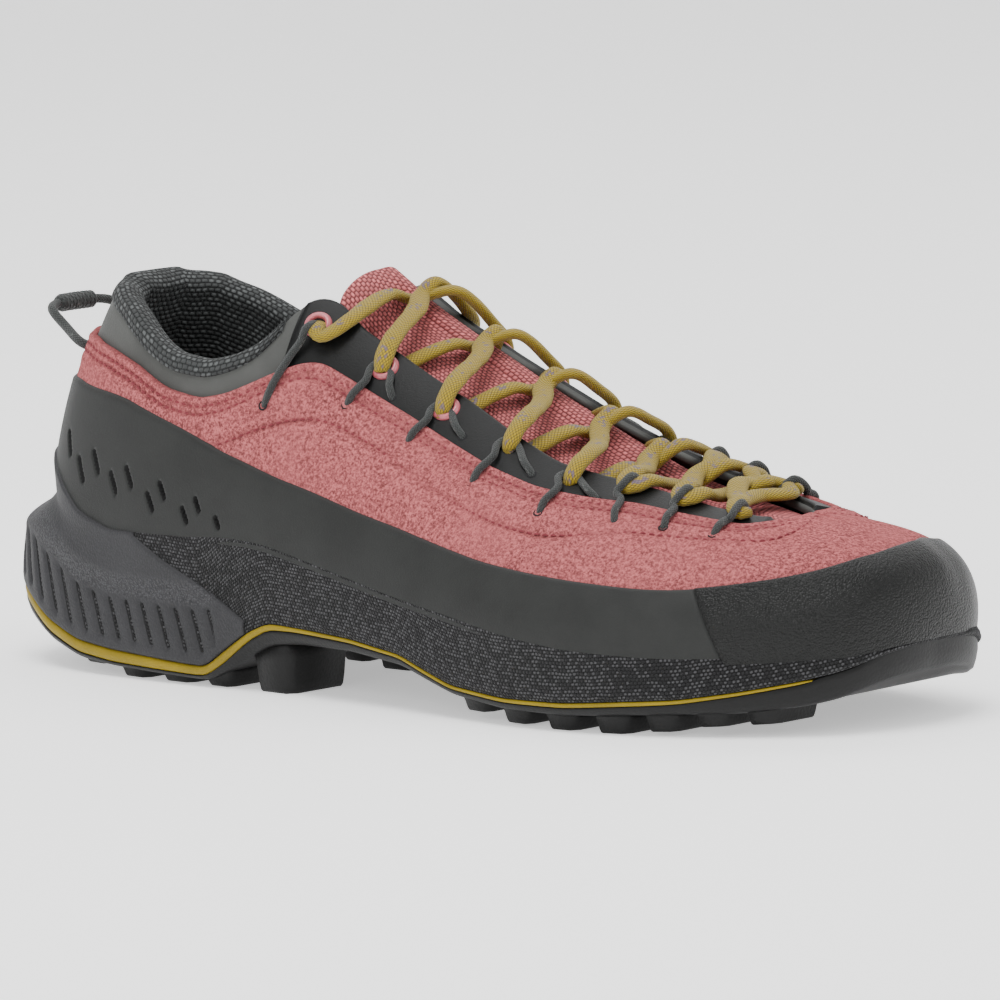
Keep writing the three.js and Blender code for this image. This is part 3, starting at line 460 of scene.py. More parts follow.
@dataclass
class Crease:
    """A soft trough (negative depth) or ridge across the upper, drawn along a listed path."""

    path: Sequence[tuple[float, float]]  # row and share of the girth
    depth: float
    width: float
    sides: tuple[Side, ...] = (Side.OUTER,)

    def height(self, points: Array) -> Array:
        """Returns how far the crease lifts each point, in millimetres."""
        lift = np.zeros(points.shape[:-1])
        for side in self.sides:
            rows, shares = np.array(self.path).T
            fine = np.linspace(0, len(rows) - 1, 6 * len(rows))
            steps = np.arange(len(rows))
            line = LAST.point(side.girth(np.interp(fine, steps, rows)),
                              np.interp(fine, steps, shares))
            low, high = line.min(0) - 4 * self.width, line.max(0) + 4 * self.width
            near = ((points > low) & (points < high)).all(-1)
            gap = np.linalg.norm(points[near][:, None] - line[None], axis=-1)
            best = gap.argmin(1)
            fade = np.sin(np.pi * np.clip((best + 0.5) / len(line), 0, 1)) ** 0.7
            lift[near] += self.depth * fade * np.exp(-0.5 * (gap.min(1) / self.width) ** 2)
        return lift


@dataclass
class Panel:
    """A layer of the upper between two lines, with rolled edges."""

    start: float
    end: float
    low: Curve
    high: Curve
    inner: float
    outer: float
    step: float = 1.4
    roll: float = 0.9
    rims: tuple[bool, bool, bool, bool] = (True, True, True, True)  # low, high, start, end
    wraps: bool = False
    creases: Sequence[Crease] = ()
    detail: Detail | None = None
    columns: Array | None = None
    row_step: float | None = None
    slant: tuple[float, float] = (0.0, 0.0)  # how far the top of each end lies from its foot

    def skin(self) -> Skin:
        """Returns the panel's surface with its rolled edges, creases and details."""
        u = self.columns
        if u is None:
            u = even_columns(self.start, self.end, self.step)
        if self.wraps:
            u = u[:-1]
        low, high = self.low(u), self.high(u)
        length = (high - low) * LAST.girth(u)
        rows = spaced(float(np.median(length)), self.row_step or self.step, (0.15, 0.4, 0.8, 1.3))
        shear = sum(part * np.clip(1 - np.abs(u - end), 0, 1)
                    for part, end in zip(self.slant, (u[0], u[-1])))
        uu = u[:, None] + shear[:, None] * rows
        reach = np.linspace(uu.min(), uu.max(), 1200)
        below, above = (np.interp(uu, reach, line(reach)) for line in (self.low, self.high))
        vv = below + (above - below) * rows
        base = LAST.point(uu, vv)
        climb = length[:, None] * rows
        run = run_of(base[:, len(rows) // 2])
        edge = rim_gap(self.rims, climb, length[:, None], run)
        lift = rolled(edge, self.roll, self.inner, self.outer)
        wave = sum((crease.height(base) for crease in self.creases), np.zeros_like(lift))
        # fold carries the crease relief, which the suede turns into painted shade and painted
        # highlight
        marks = {"edge": np.minimum(edge, 30.0), "fold": wave.copy()}
        if self.detail:
            extra, more = self.detail(uu, vv, base)
            lift = lift + extra
            marks.update(more)
        normal = LAST.normal(uu, vv)
        uv = np.stack([run[:, None] + np.zeros_like(climb), climb + low[:, None] * 200], -1)
        return Skin(base + normal * (lift + wave)[..., None], uv, marks,
                    base + normal * (self.inner + wave)[..., None], self.wraps)


def blend(first: Array, last: Array, start: float, end: float, at: Array) -> Array:
    """Returns the way from one value to another at times between start and end."""
    return (end - at) / (end - start) * first + (at - start) / (end - start) * last


def smooth_line(points: Sequence[Any], step: float) -> Array:
    """Returns a smooth curve through the points with a point every step millimetres."""
    knots = np.array([list(p) for p in points], float)
    ext = np.concatenate([[2 * knots[0] - knots[1]], knots, [2 * knots[-1] - knots[-2]]])
    parts = []
    for a, b, c, d in zip(ext, ext[1:], ext[2:], ext[3:]):
        reach = [max(np.linalg.norm(q - p), 1e-6) ** 0.5 for p, q in ((a, b), (b, c), (c, d))]
        t0, t1, t2, t3 = 0.0, reach[0], reach[0] + reach[1], sum(reach)
        t = np.linspace(t1, t2, 12, endpoint=False)[:, None]
        first, middle, last = blend(a, b, t0, t1, t), blend(b, c, t1, t2, t), blend(c, d, t2, t3, t)
        low, high = blend(first, middle, t0, t2, t), blend(middle, last, t1, t3, t)
        parts.append(blend(low, high, t1, t2, t))
    line = np.concatenate(parts + [knots[-1:]])
    run = run_of(line)
    return on_line(np.linspace(0, run[-1], max(int(run[-1] / step), 3) + 1), run, line)


def pipe(name: str, rings: Array, uv: Array | None = None, marks: dict[str, Array] | None = None,
         flip: bool = False) -> Piece:
    """Makes a body of rings of points that is closed at both ends.

    Args:
        name: name of the piece.
        rings: points of each ring in turn.
        uv: flat position of each point.
        marks: named values of each point.
        flip: whether the rings turn the other way.

    Returns:
        The body.
    """
    count, sides, _ = rings.shape
    faces = grid_faces(count, sides, False, loops=True)[:, AROUND]
    caps = [list(range(sides))[::-1], [(count - 1) * sides + k for k in range(sides)]]
    if flip:
        faces, caps = faces[:, ::-1], [cap[::-1] for cap in caps]
    flat = np.zeros((count * sides, 2)) if uv is None else uv.reshape(-1, 2)
    return write_mesh(name, rings.reshape(-1, 3), faces, flat, marks, caps)


def tube(name: str, line: Array, radius: Array | float, sides: int = 12, flat: Array | float = 1.0,
         up: Array | None = None) -> Piece:
    """Makes a round or flattened cord along a line.

    Args:
        name: name of the piece.
        line: points of its middle.
        radius: half its width at each point.
        sides: points round it.
        flat: its thickness as a share of its width.
        up: direction of its thickness at each point.

    Returns:
        The cord, closed at both ends, with the length and the way round as its flat position.
    """
    count = len(line)
    along = unit(np.gradient(line, axis=0))
    if up is None:
        frames = [unit(np.cross(along[0], [0.3, 0.5, 1.0]))]
        for i in range(1, count):
            step = frames[-1] - along[i] * (frames[-1] @ along[i])
            frames.append(unit(step))
        up = np.array(frames)
    up = unit(up - along * (up * along).sum(-1, keepdims=True))
    across = np.cross(along, up)
    angle = np.linspace(0, 2 * math.pi, sides, endpoint=False)
    radius = np.broadcast_to(np.asarray(radius, float), (count,))[:, None, None]
    flat = np.broadcast_to(np.asarray(flat, float), (count,))[:, None, None]
    cosine, sine = np.cos(angle)[None, :, None], np.sin(angle)[None, :, None]
    points = line[:, None] + (across[:, None] * cosine + up[:, None] * flat * sine) * radius
    shares = np.arange(sides) / sides
    uv = np.stack([run_of(line)[:, None] + np.zeros(sides),
                   np.abs(1 - 2 * shares)[None] + np.zeros((count, 1))], -1)
    marks = {"spin": np.broadcast_to(np.cos(angle), (count, sides))}
    return pipe(name, points, uv, marks)


def stitches(name: str, lines: Sequence[tuple[Array, Array]], pitch: float, length: float,
             width: float) -> Piece:
    """Makes rows of sewn stitches as short bent threads.

    Args:
        name: name of the piece.
        lines: points and outward directions of each row.
        pitch: distance between stitches.
        length: length of one stitch.
        width: its thickness.

    Returns:
        All the stitches as one piece.
    """
    sides, rings = 5, 5
    angle = np.linspace(0, 2 * math.pi, sides, endpoint=False)[:, None]
    bow = np.linspace(-1, 1, rings)
    rise = (0.15 - 0.45 * np.abs(bow) ** 3)[:, None] * width * 2
    size = (width * (0.55 + 0.45 * np.cos(bow * math.pi / 2)))[:, None, None]
    cells = grid_faces(rings, sides, False, loops=True)
    verts, faces = [], []
    for points, normals in lines:
        run = run_of(points)
        places = np.arange(pitch / 2, run[-1], pitch)
        spots = on_line(places, run, points)
        ups = unit(on_line(places, run, normals))
        alongs = unit(on_line(places + 0.3, run, points) - spots)
        for spot, way, up, across in zip(spots, alongs, ups, np.cross(ups, alongs)):
            centre = spot + way * (bow * length / 2)[:, None] + up * rise
            ring = across * np.cos(angle) + up * np.sin(angle)
            faces.append(cells + len(verts) * sides * rings)
            verts.append((centre[:, None] + ring[None] * size).reshape(-1, 3))
    return write_mesh(name, np.concatenate(verts), np.concatenate(faces))


def along_edge(edge: Curve, start: float, end: float, distance: float,
               step: float = 1.0) -> tuple[Array, Array]:
    """Returns the points and directions of a line on the upper."""
    u = even_columns(start, end, step)
    v = edge(u)
    return LAST.form(u, v, distance), LAST.normal(u, v)


def srgb(red: float, green: float, blue: float) -> Colour:
    """Returns a display colour of 0 to 255 as a linear one."""
    parts = [c / 255 / 12.92 if c <= 10 else ((c / 255 + 0.055) / 1.055) ** 2.4
             for c in (red, green, blue)]
    return (parts[0], parts[1], parts[2], 1.0)


class Sock:
    """A shader value that takes part in expressions."""

    def __init__(self, graph: "Graph", socket: Any) -> None:
        """Keeps the graph and the output socket."""
        self.graph, self.socket = graph, socket

    def _math(self, operation: str, first: Any, second: Any) -> "Sock":
        """Returns one Math node's result."""
        return self.graph.node("ShaderNodeMath", {"operation": operation}, {0: first, 1: second})

    def __add__(self, other: Any) -> "Sock":
        """Returns the sum."""
        return self._math("ADD", self, other)

    def __radd__(self, other: Any) -> "Sock":
        """Returns the sum."""
        return self._math("ADD", other, self)

    def __sub__(self, other: Any) -> "Sock":
        """Returns the difference."""
        return self._math("SUBTRACT", self, other)

    def __rsub__(self, other: Any) -> "Sock":
        """Returns the difference the other way round."""
        return self._math("SUBTRACT", other, self)

    def __mul__(self, other: Any) -> "Sock":
        """Returns the product."""
        return self._math("MULTIPLY", self, other)

    def __rmul__(self, other: Any) -> "Sock":
        """Returns the product."""
        return self._math("MULTIPLY", other, self)

    def __truediv__(self, other: Any) -> "Sock":
        """Returns the quotient."""
        return self._math("DIVIDE", self, other)

    def __pow__(self, other: Any) -> "Sock":
        """Returns the power."""
        return self._math("POWER", self, other)

    def floor(self) -> "Sock":
        """Returns the whole part."""
        return self._math("FLOOR", self, 0.0)

    def sine(self) -> "Sock":
        """Returns the sine."""
        return self._math("SINE", self, 0.0)

    def size(self) -> "Sock":
        """Returns the absolute value."""
        return self._math("ABSOLUTE", self, 0.0)

    def ramp(self, low: float, high: float, start: float = 0.0, end: float = 1.0) -> "Sock":
        """Returns the value mapped from low..high to start..end, eased and clamped."""
        return self.graph.node("ShaderNodeMapRange", {"interpolation_type": "SMOOTHSTEP"},
                               {0: self, 1: low, 2: high, 3: start, 4: end})


class Graph:
    """One material's nodes."""

    def __init__(self, name: str) -> None:
        """Makes an empty material with its shader."""
        self.material = bpy.data.materials.new(name)
        self.material.use_nodes = True
        self.tree = self.material.node_tree
        self.tree.nodes.clear()
        output = self.tree.nodes.new("ShaderNodeOutputMaterial")
        self.shader = self.tree.nodes.new("ShaderNodeBsdfPrincipled")
        self.tree.links.new(self.shader.outputs[0], output.inputs[0])

    def node(self, kind: str, settings: dict[str, Any] | None = None,
             inputs: dict[Any, Any] | None = None,
             output: int | str = 0) -> Sock:
        """Adds a node.

        Args:
            kind: type of the node.
            settings: its own settings, set first; "stops" are a ramp's places and colours.
            inputs: values or links by socket.
            output: the socket wanted.

        Returns:
            The output, ready for expressions.
        """
        node = self.tree.nodes.new(kind)
        for key, value in (settings or {}).items():
            if key == "stops":
                elements = node.color_ramp.elements
                while len(elements) < len(value):
                    elements.new(0.5)
                for element, (place, colour) in zip(elements, value):
                    element.position, element.color = place, colour
            else:
                setattr(node, key, value)
        for key, value in (inputs or {}).items():
            self.feed(node.inputs[key], value)
        return Sock(self, node.outputs[output])

    def feed(self, socket: Any, value: Any) -> None:
        """Links or sets one input."""
        if isinstance(value, Sock):
            self.tree.links.new(value.socket, socket)
        else:
            socket.default_value = value

    def place(self) -> Sock:
        """Returns the position in millimetres."""
        spot = self.node("ShaderNodeTexCoord", output="Object")
        return self.node("ShaderNodeVectorMath", {"operation": "SCALE"}, {0: spot, "Scale": 1000.0})

    def flat(self) -> tuple[Sock, Sock]:
        """Returns the two flat positions in millimetres."""
        split = self.node("ShaderNodeSeparateXYZ", None,
                          {0: self.node("ShaderNodeUVMap", {"uv_map": "UVMap"})})
        return split, Sock(self, split.socket.node.outputs[1])

    def join(self, x: Any, y: Any, z: Any = 0.0) -> Sock:
        """Returns a vector of three values."""
        return self.node("ShaderNodeCombineXYZ", None, {0: x, 1: y, 2: z})

    def mark(self, name: str) -> Sock:
        """Returns a named value of the mesh."""
        return self.node("ShaderNodeAttribute", {"attribute_name": name}, output="Fac")

    def noise(self, size: float, detail: float = 3.0, rough: float = 0.55,
              at: Sock | None = None) -> Sock:
        """Returns soft noise whose blotches are about size millimetres across."""
        return self.node("ShaderNodeTexNoise", None,
                         {"Vector": at or self.place(), "Scale": 1.0 / size,
                                                      "Detail": detail, "Roughness": rough})

    def cells(self, size: float) -> Sock:
        """Returns a cell pattern of about size millimetres."""
        return self.node("ShaderNodeTexVoronoi", {"feature": "F1"},
                         {"Vector": self.place(), "Scale": 1.0 / size}, "Distance")

    def random(self, x: Any, y: Any) -> Sock:
        """Returns a random value for each pair of whole numbers."""
        return self.node("ShaderNodeTexWhiteNoise", {"noise_dimensions": "2D"},
                         {"Vector": self.join(x, y)})

    def mix(self, share: Any, first: Any, second: Any) -> Sock:
        """Returns two colours mixed."""
        node = self.tree.nodes.new("ShaderNodeMix")
        node.data_type = "RGBA"
        for key, value in ((0, share), (6, first), (7, second)):
            self.feed(node.inputs[key], value)
        return Sock(self, node.outputs[2])

    def bump(self, height: Sock, depth: float) -> Sock:
        """Returns the normal of a height of 0 to 1 that stands for depth millimetres."""
        return self.node("ShaderNodeBump", None,
                         {"Height": height, "Distance": depth * 0.001, "Strength": 1.0})

    def knit(self, across: float, along: float, x: Sock, y: Sock) -> tuple[Sock, Sock]:
        """Returns the height and a random value of the cells of a brick-laid knit."""
        row = y / along
        line = row.floor()
        column = x / across + line * 0.5
        wave = (column * math.pi).sine().size() * (row * math.pi).sine().size()
        return wave ** 0.6, self.random(column.floor(), line)

    def surface(self, **sockets: Any) -> bpy.types.Material:
        """Sets the shader's sockets and returns the material."""
        for key, value in sockets.items():
            self.feed(self.shader.inputs[key.replace("_", " ")], value)
        return self.material


@dataclass(frozen=True)
class Finish:
    """A surface finish; the base is a plain smooth one."""

    name: str
    slot: str
    colour: tuple[float, float, float]
    rough: float = 0.6

    def build(self) -> bpy.types.Material:
        """Returns the finish's material."""
        return self.shade(Graph(self.name))

    def tone(self, factor: float) -> Colour:
        """Returns the colour made lighter or darker."""
        red, green, blue = (min(part * factor, 1) for part in srgb(*self.colour)[:3])
        return red, green, blue, 1.0

    def shade(self, graph: Graph) -> bpy.types.Material:
        """Returns the material made of smooth coated cloth, with a painted highlight along rolled
        edges and painted shade in slots.
        """
        cloud = graph.noise(14.0, 4.0)
        grain = graph.noise(0.55, 4.0, 0.7)
        tint = graph.mix(cloud.ramp(0.3, 0.7), self.tone(0.86), self.tone(1.12))
        # painted highlight: the colour turns lighter towards the rolled edges
        tint = graph.mix(graph.mark("edge").ramp(0.0, 1.2, 0.35, 0.0), tint, self.tone(1.6))
        # painted shade: the rand's slots are darkened almost to black
        tint = graph.mix(graph.mark("slot").ramp(0.42, 0.52), tint, self.tone(0.05))
        return graph.surface(Base_Color=tint,
                             Roughness=self.rough + 0.14 * (cloud - 0.5) + 0.1 * (grain - 0.5),
                             Normal=graph.bump(grain + cloud, 0.09), Specular_IOR_Level=0.22)


@dataclass(frozen=True)
class Suede(Finish):
    """Napped suede with fibres, blotches and paler worn places, with painted shade at its rolled
    edge and in crease troughs and painted highlights on crease ridges.
    """

    def shade(self, graph: Graph) -> bpy.types.Material:
        """Returns the suede."""
        fibre = graph.noise(0.6, 5.0, 0.75)
        clump = graph.noise(1.0, 4.0, 0.65)
        cloud = graph.noise(22.0, 3.0)
        speck = (0.6 * fibre + 0.4 * clump).ramp(0.4, 0.6)
        tint = graph.mix(speck, self.tone(0.36), self.tone(1.6))
        tint = graph.mix(cloud.ramp(0.3, 0.75, 0.0, 0.35), tint, self.tone(1.22))
        groove = graph.mark("seam")
        tint = graph.mix(groove.ramp(0.0, 1.0, 0.0, 0.45), tint, self.tone(0.45))
        # painted shade: the suede darkens towards its rolled top edge
        tint = graph.mix(graph.mark("edge").ramp(0.0, 0.7, 0.55, 0.0), tint, self.tone(0.5))
        # painted shade in crease troughs and painted highlight on crease ridges, following the
        # relief
        fold = graph.mark("fold")
        tint = graph.mix(fold.ramp(-1.2, -0.15, 0.3, 0.0), tint, self.tone(0.6))
        tint = graph.mix(fold.ramp(0.15, 0.9, 0.0, 0.3), tint, self.tone(1.4))
        normal = graph.bump(0.6 * fibre + 0.4 * clump, 0.9)
        return graph.surface(Base_Color=tint, Roughness=0.96, Normal=normal,
                             Specular_IOR_Level=0.06,
                             Sheen_Weight=0.12, Sheen_Roughness=0.6, Sheen_Tint=self.tone(1.3))


@dataclass(frozen=True)
class Grained(Finish):
    """Moulded rubber or foam with a fine pebbled or stippled face."""

    grain: float = 0.9
    depth: float = 0.16
    fleck: float = 0.0

    def shade(self, graph: Graph) -> bpy.types.Material:
        """Returns the moulded finish."""
        pebble = graph.cells(self.grain)
        dust = graph.noise(0.5, 4.0, 0.7)
        cloud = graph.noise(18.0, 4.0)
        tint = graph.mix(cloud.ramp(0.3, 0.7), self.tone(0.84), self.tone(1.16))
        tint = graph.mix(dust.ramp(0.45, 0.72, 0.0, 0.45 + self.fleck), tint,
                         self.tone(1.5 + 1.6 * self.fleck))
        ledge = graph.mark("ledge")
        # partly the stipple's own pale flecks, partly a painted highlight on the upward-facing
        # ledge: pebble tops painted lighter
        tint = graph.mix(pebble.ramp(0.25, 0.6, 0.85, 0.0) * ledge, tint, self.tone(2.3))
        # painted shade: the cradle's grooves are darkened
        tint = graph.mix(graph.mark("slot").ramp(0.45, 0.6), tint, self.tone(0.2))
        height = 1.0 - pebble * (1.0 + 2.0 * ledge) + 0.35 * dust
        return graph.surface(Base_Color=tint, Roughness=self.rough + 0.2 * (cloud - 0.5),
                             Specular_IOR_Level=0.28,
                             Normal=graph.bump(height, self.depth))


@dataclass(frozen=True)
class Knit(Finish):
    """Knitted or woven mesh: rounded cells, dark gaps and paler flecks."""

    across: float = 1.5
    along: float = 1.2
    gap: float = 0.25
    pale: float = 2.4
    flecks: float = 0.2
    depth: float = 0.45
    sheen: float = 0.06

    def shade(self, graph: Graph) -> bpy.types.Material:
        """Returns the knit."""
        x, y = graph.flat()
        wobble = (graph.noise(6.0, 2.0) - 0.5) * 0.8
        cell, chance = graph.knit(self.across, self.along, x + wobble, y + wobble)
        thread = graph.noise(0.32, 3.0, 0.6)
        tint = graph.mix(cell.ramp(0.15, 0.75), self.tone(self.gap), self.tone(1.0))
        tint = graph.mix(chance.ramp(0.2, 1.0, 0.0, 0.6), tint, self.tone(0.55))
        light = chance.ramp(1 - self.flecks, 1 - self.flecks + 0.05) * cell.ramp(0.45, 0.9)
        tint = graph.mix(light, tint, self.tone(self.pale))
        height = cell + 0.2 * thread
        return graph.surface(Base_Color=tint, Roughness=self.rough,
                             Normal=graph.bump(height, self.depth),
                             Specular_IOR_Level=0.14, Sheen_Weight=self.sheen, Sheen_Roughness=0.5)


@dataclass(frozen=True)
class Braid(Finish):
    """Braided cord with slanted strands and woven-in flecks."""

    fleck: tuple[float, float, float] = (92, 78, 108)
    strands: float = 8.0
    pitch: float = 1.1
    share: float = 0.16
    depth: float = 0.2

    def shade(self, graph: Graph) -> bpy.types.Material:
        """Returns the braid."""
        along, round_ = graph.flat()
        left = along / self.pitch + round_ * self.strands
        right = along / self.pitch - round_ * self.strands
        plait = (left * math.pi).sine().size() * (right * math.pi).sine().size()
        chance = graph.random(left.floor(), right.floor())
        thread = graph.noise(0.25, 3.0, 0.6)
        tint = graph.mix(plait.ramp(0.02, 0.55), self.tone(0.3), self.tone(1.25))
        tint = graph.mix(thread.ramp(0.4, 0.7, 0.0, 0.5), tint, self.tone(1.6))
        band = graph.noise(4.0, 1.0, 0.5, graph.join(along, round_ * 3.0)).ramp(0.5, 0.56)
        middle = graph.mark("spin").size().ramp(0.6, 0.35)
        spots = chance.ramp(1 - self.share * 2.2, 1 - self.share * 2.2 + 0.02) * band * middle
        tint = graph.mix(spots * 0.8, tint, srgb(*self.fleck))
        return graph.surface(Base_Color=tint, Roughness=self.rough, Specular_IOR_Level=0.35,
                             Sheen_Weight=0.15,
                             Normal=graph.bump(plait ** 0.6 + 0.15 * thread, self.depth))


@dataclass(frozen=True)
class Moulded(Finish):
    """Glossy moulded plastic."""

    def shade(self, graph: Graph) -> bpy.types.Material:
        """Returns the plastic."""
        haze = graph.noise(1.2, 3.0)
        tint = graph.mix(haze.ramp(0.35, 0.7), self.tone(0.86), self.tone(1.12))
        return graph.surface(Base_Color=tint, Roughness=self.rough + 0.2 * (haze - 0.5),
                             Coat_Weight=0.35,
                             Coat_Roughness=0.2, Normal=graph.bump(haze, 0.03))


@dataclass(frozen=True)
class Looks:
    """Every finish of the shoe."""

    suede: Finish = Suede("rose_suede_look", "rose_suede", (170, 94, 95))
    smooth: Finish = Finish("smooth_panel_look", "smooth_synthetic", (10, 11, 11), 0.45)
    collar: Finish = Finish("collar_panel_look", "smooth_synthetic", (74, 75, 73), 0.5)
    rand: Finish = Finish("rand_look", "rand_synthetic", (38, 39, 38), 0.55)
    toe: Finish = Grained("toe_cap_look", "toe_rubber", (10, 11, 10), 0.38, 0.55, 0.26)
    lining: Finish = Knit("collar_knit_look", "lining_knit", (66, 68, 68), 0.9, 1.7, 1.3, 0.3, 1.9,
                          0.4, 0.6)
    tongue: Finish = Knit("tongue_mesh_look", "tongue_mesh", (206, 112, 113), 0.85, 1.5, 1.2, 0.3,
                          1.3, 0.3, 0.6)
    mesh: Finish = Knit("midsole_mesh_look", "midsole_foam", (36, 36, 37), 0.75, 1.05, 0.85, 0.1,
                        3.4, 0.5, 0.4)
    cradle: Finish = Grained("cradle_look", "cradle_foam", (44, 44, 46), 0.62, 0.6, 0.1, 0.1)
    accent: Finish = Grained("sole_line_look", "accent_foam", (134, 114, 14), 0.6, 0.7, 0.04)
    outsole: Finish = Grained("tread_rubber_look", "outsole_rubber", (8, 8, 8), 0.5, 0.8, 0.05)
    insole: Finish = Knit("insole_cloth_look", "insole_cloth", (66, 67, 70), 0.9, 1.2, 1.0, 0.5,
                          1.8, 0.15, 0.2)
    lace: Finish = Braid("lace_look", "lace_cord", (140, 118, 12), 0.66)
    cord: Finish = Braid("loop_cord_look", "loop_cord", (44, 47, 46), 0.7, (84, 88, 85), 4.0, 0.9,
                         0.14, 0.2)
    eyelet: Finish = Moulded("eyelet_look", "eyelet_plastic", (186, 92, 100), 0.3)
    thread: Finish = Finish("rose_thread_look", "rose_suede", (112, 48, 54), 0.8)
    # painted shade: dark rings laid where the cords enter the upper
    dark: Finish = Finish("hole_shade_look", "smooth_synthetic", (30, 30, 31), 0.85)


LOOKS = Looks()


class Wardrobe:
    """Makes each finish's material once and dresses pieces with it."""

    def __init__(self) -> None:
        """Starts with no material made."""
        self.made: dict[str, bpy.types.Material] = {}

    def material(self, finish: Finish) -> bpy.types.Material:
        """Returns the finish's material."""
        if finish.name not in self.made:
            self.made[finish.name] = finish.build()
        return self.made[finish.name]

    def dress(self, piece: Piece, finish: Finish, *nodes: str) -> Piece:
        """Gives a piece its finish and body, and hides the solids it stands for.

        Args:
            piece: the visible piece.
            finish: its finish.
            nodes: solids that it replaces.

        Returns:
            The piece.
        """
        piece.data.materials.clear()
        piece.data.materials.append(self.material(finish))
        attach(piece, "root")
        if nodes:
            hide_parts(*nodes)
        LOG.info("%s: %d faces", piece.name, len(piece.data.polygons))
        return piece


SEAT = 0.48
WALL = 1.8
SUEDE_OUT = 1.95
RAND_OUT = 2.75
CAP_OUT = 3.1
STAY_OUT = 1.35
CAP_SEAM = (10.01, 9.62)  # rows of the seam at the rim and at its upper end


def share_at_height(u: Array, height: Array, distance: float) -> Array:
    """Returns the share of the girth where the grown form reaches a height."""
    low, high = np.zeros_like(u), np.full_like(u, 0.75)
    for _ in range(22):
        middle = (low + high) / 2
        below = LAST.form(u, middle, distance)[..., 2] < height
        low, high = np.where(below, middle, low), np.where(below, high, middle)
    return low


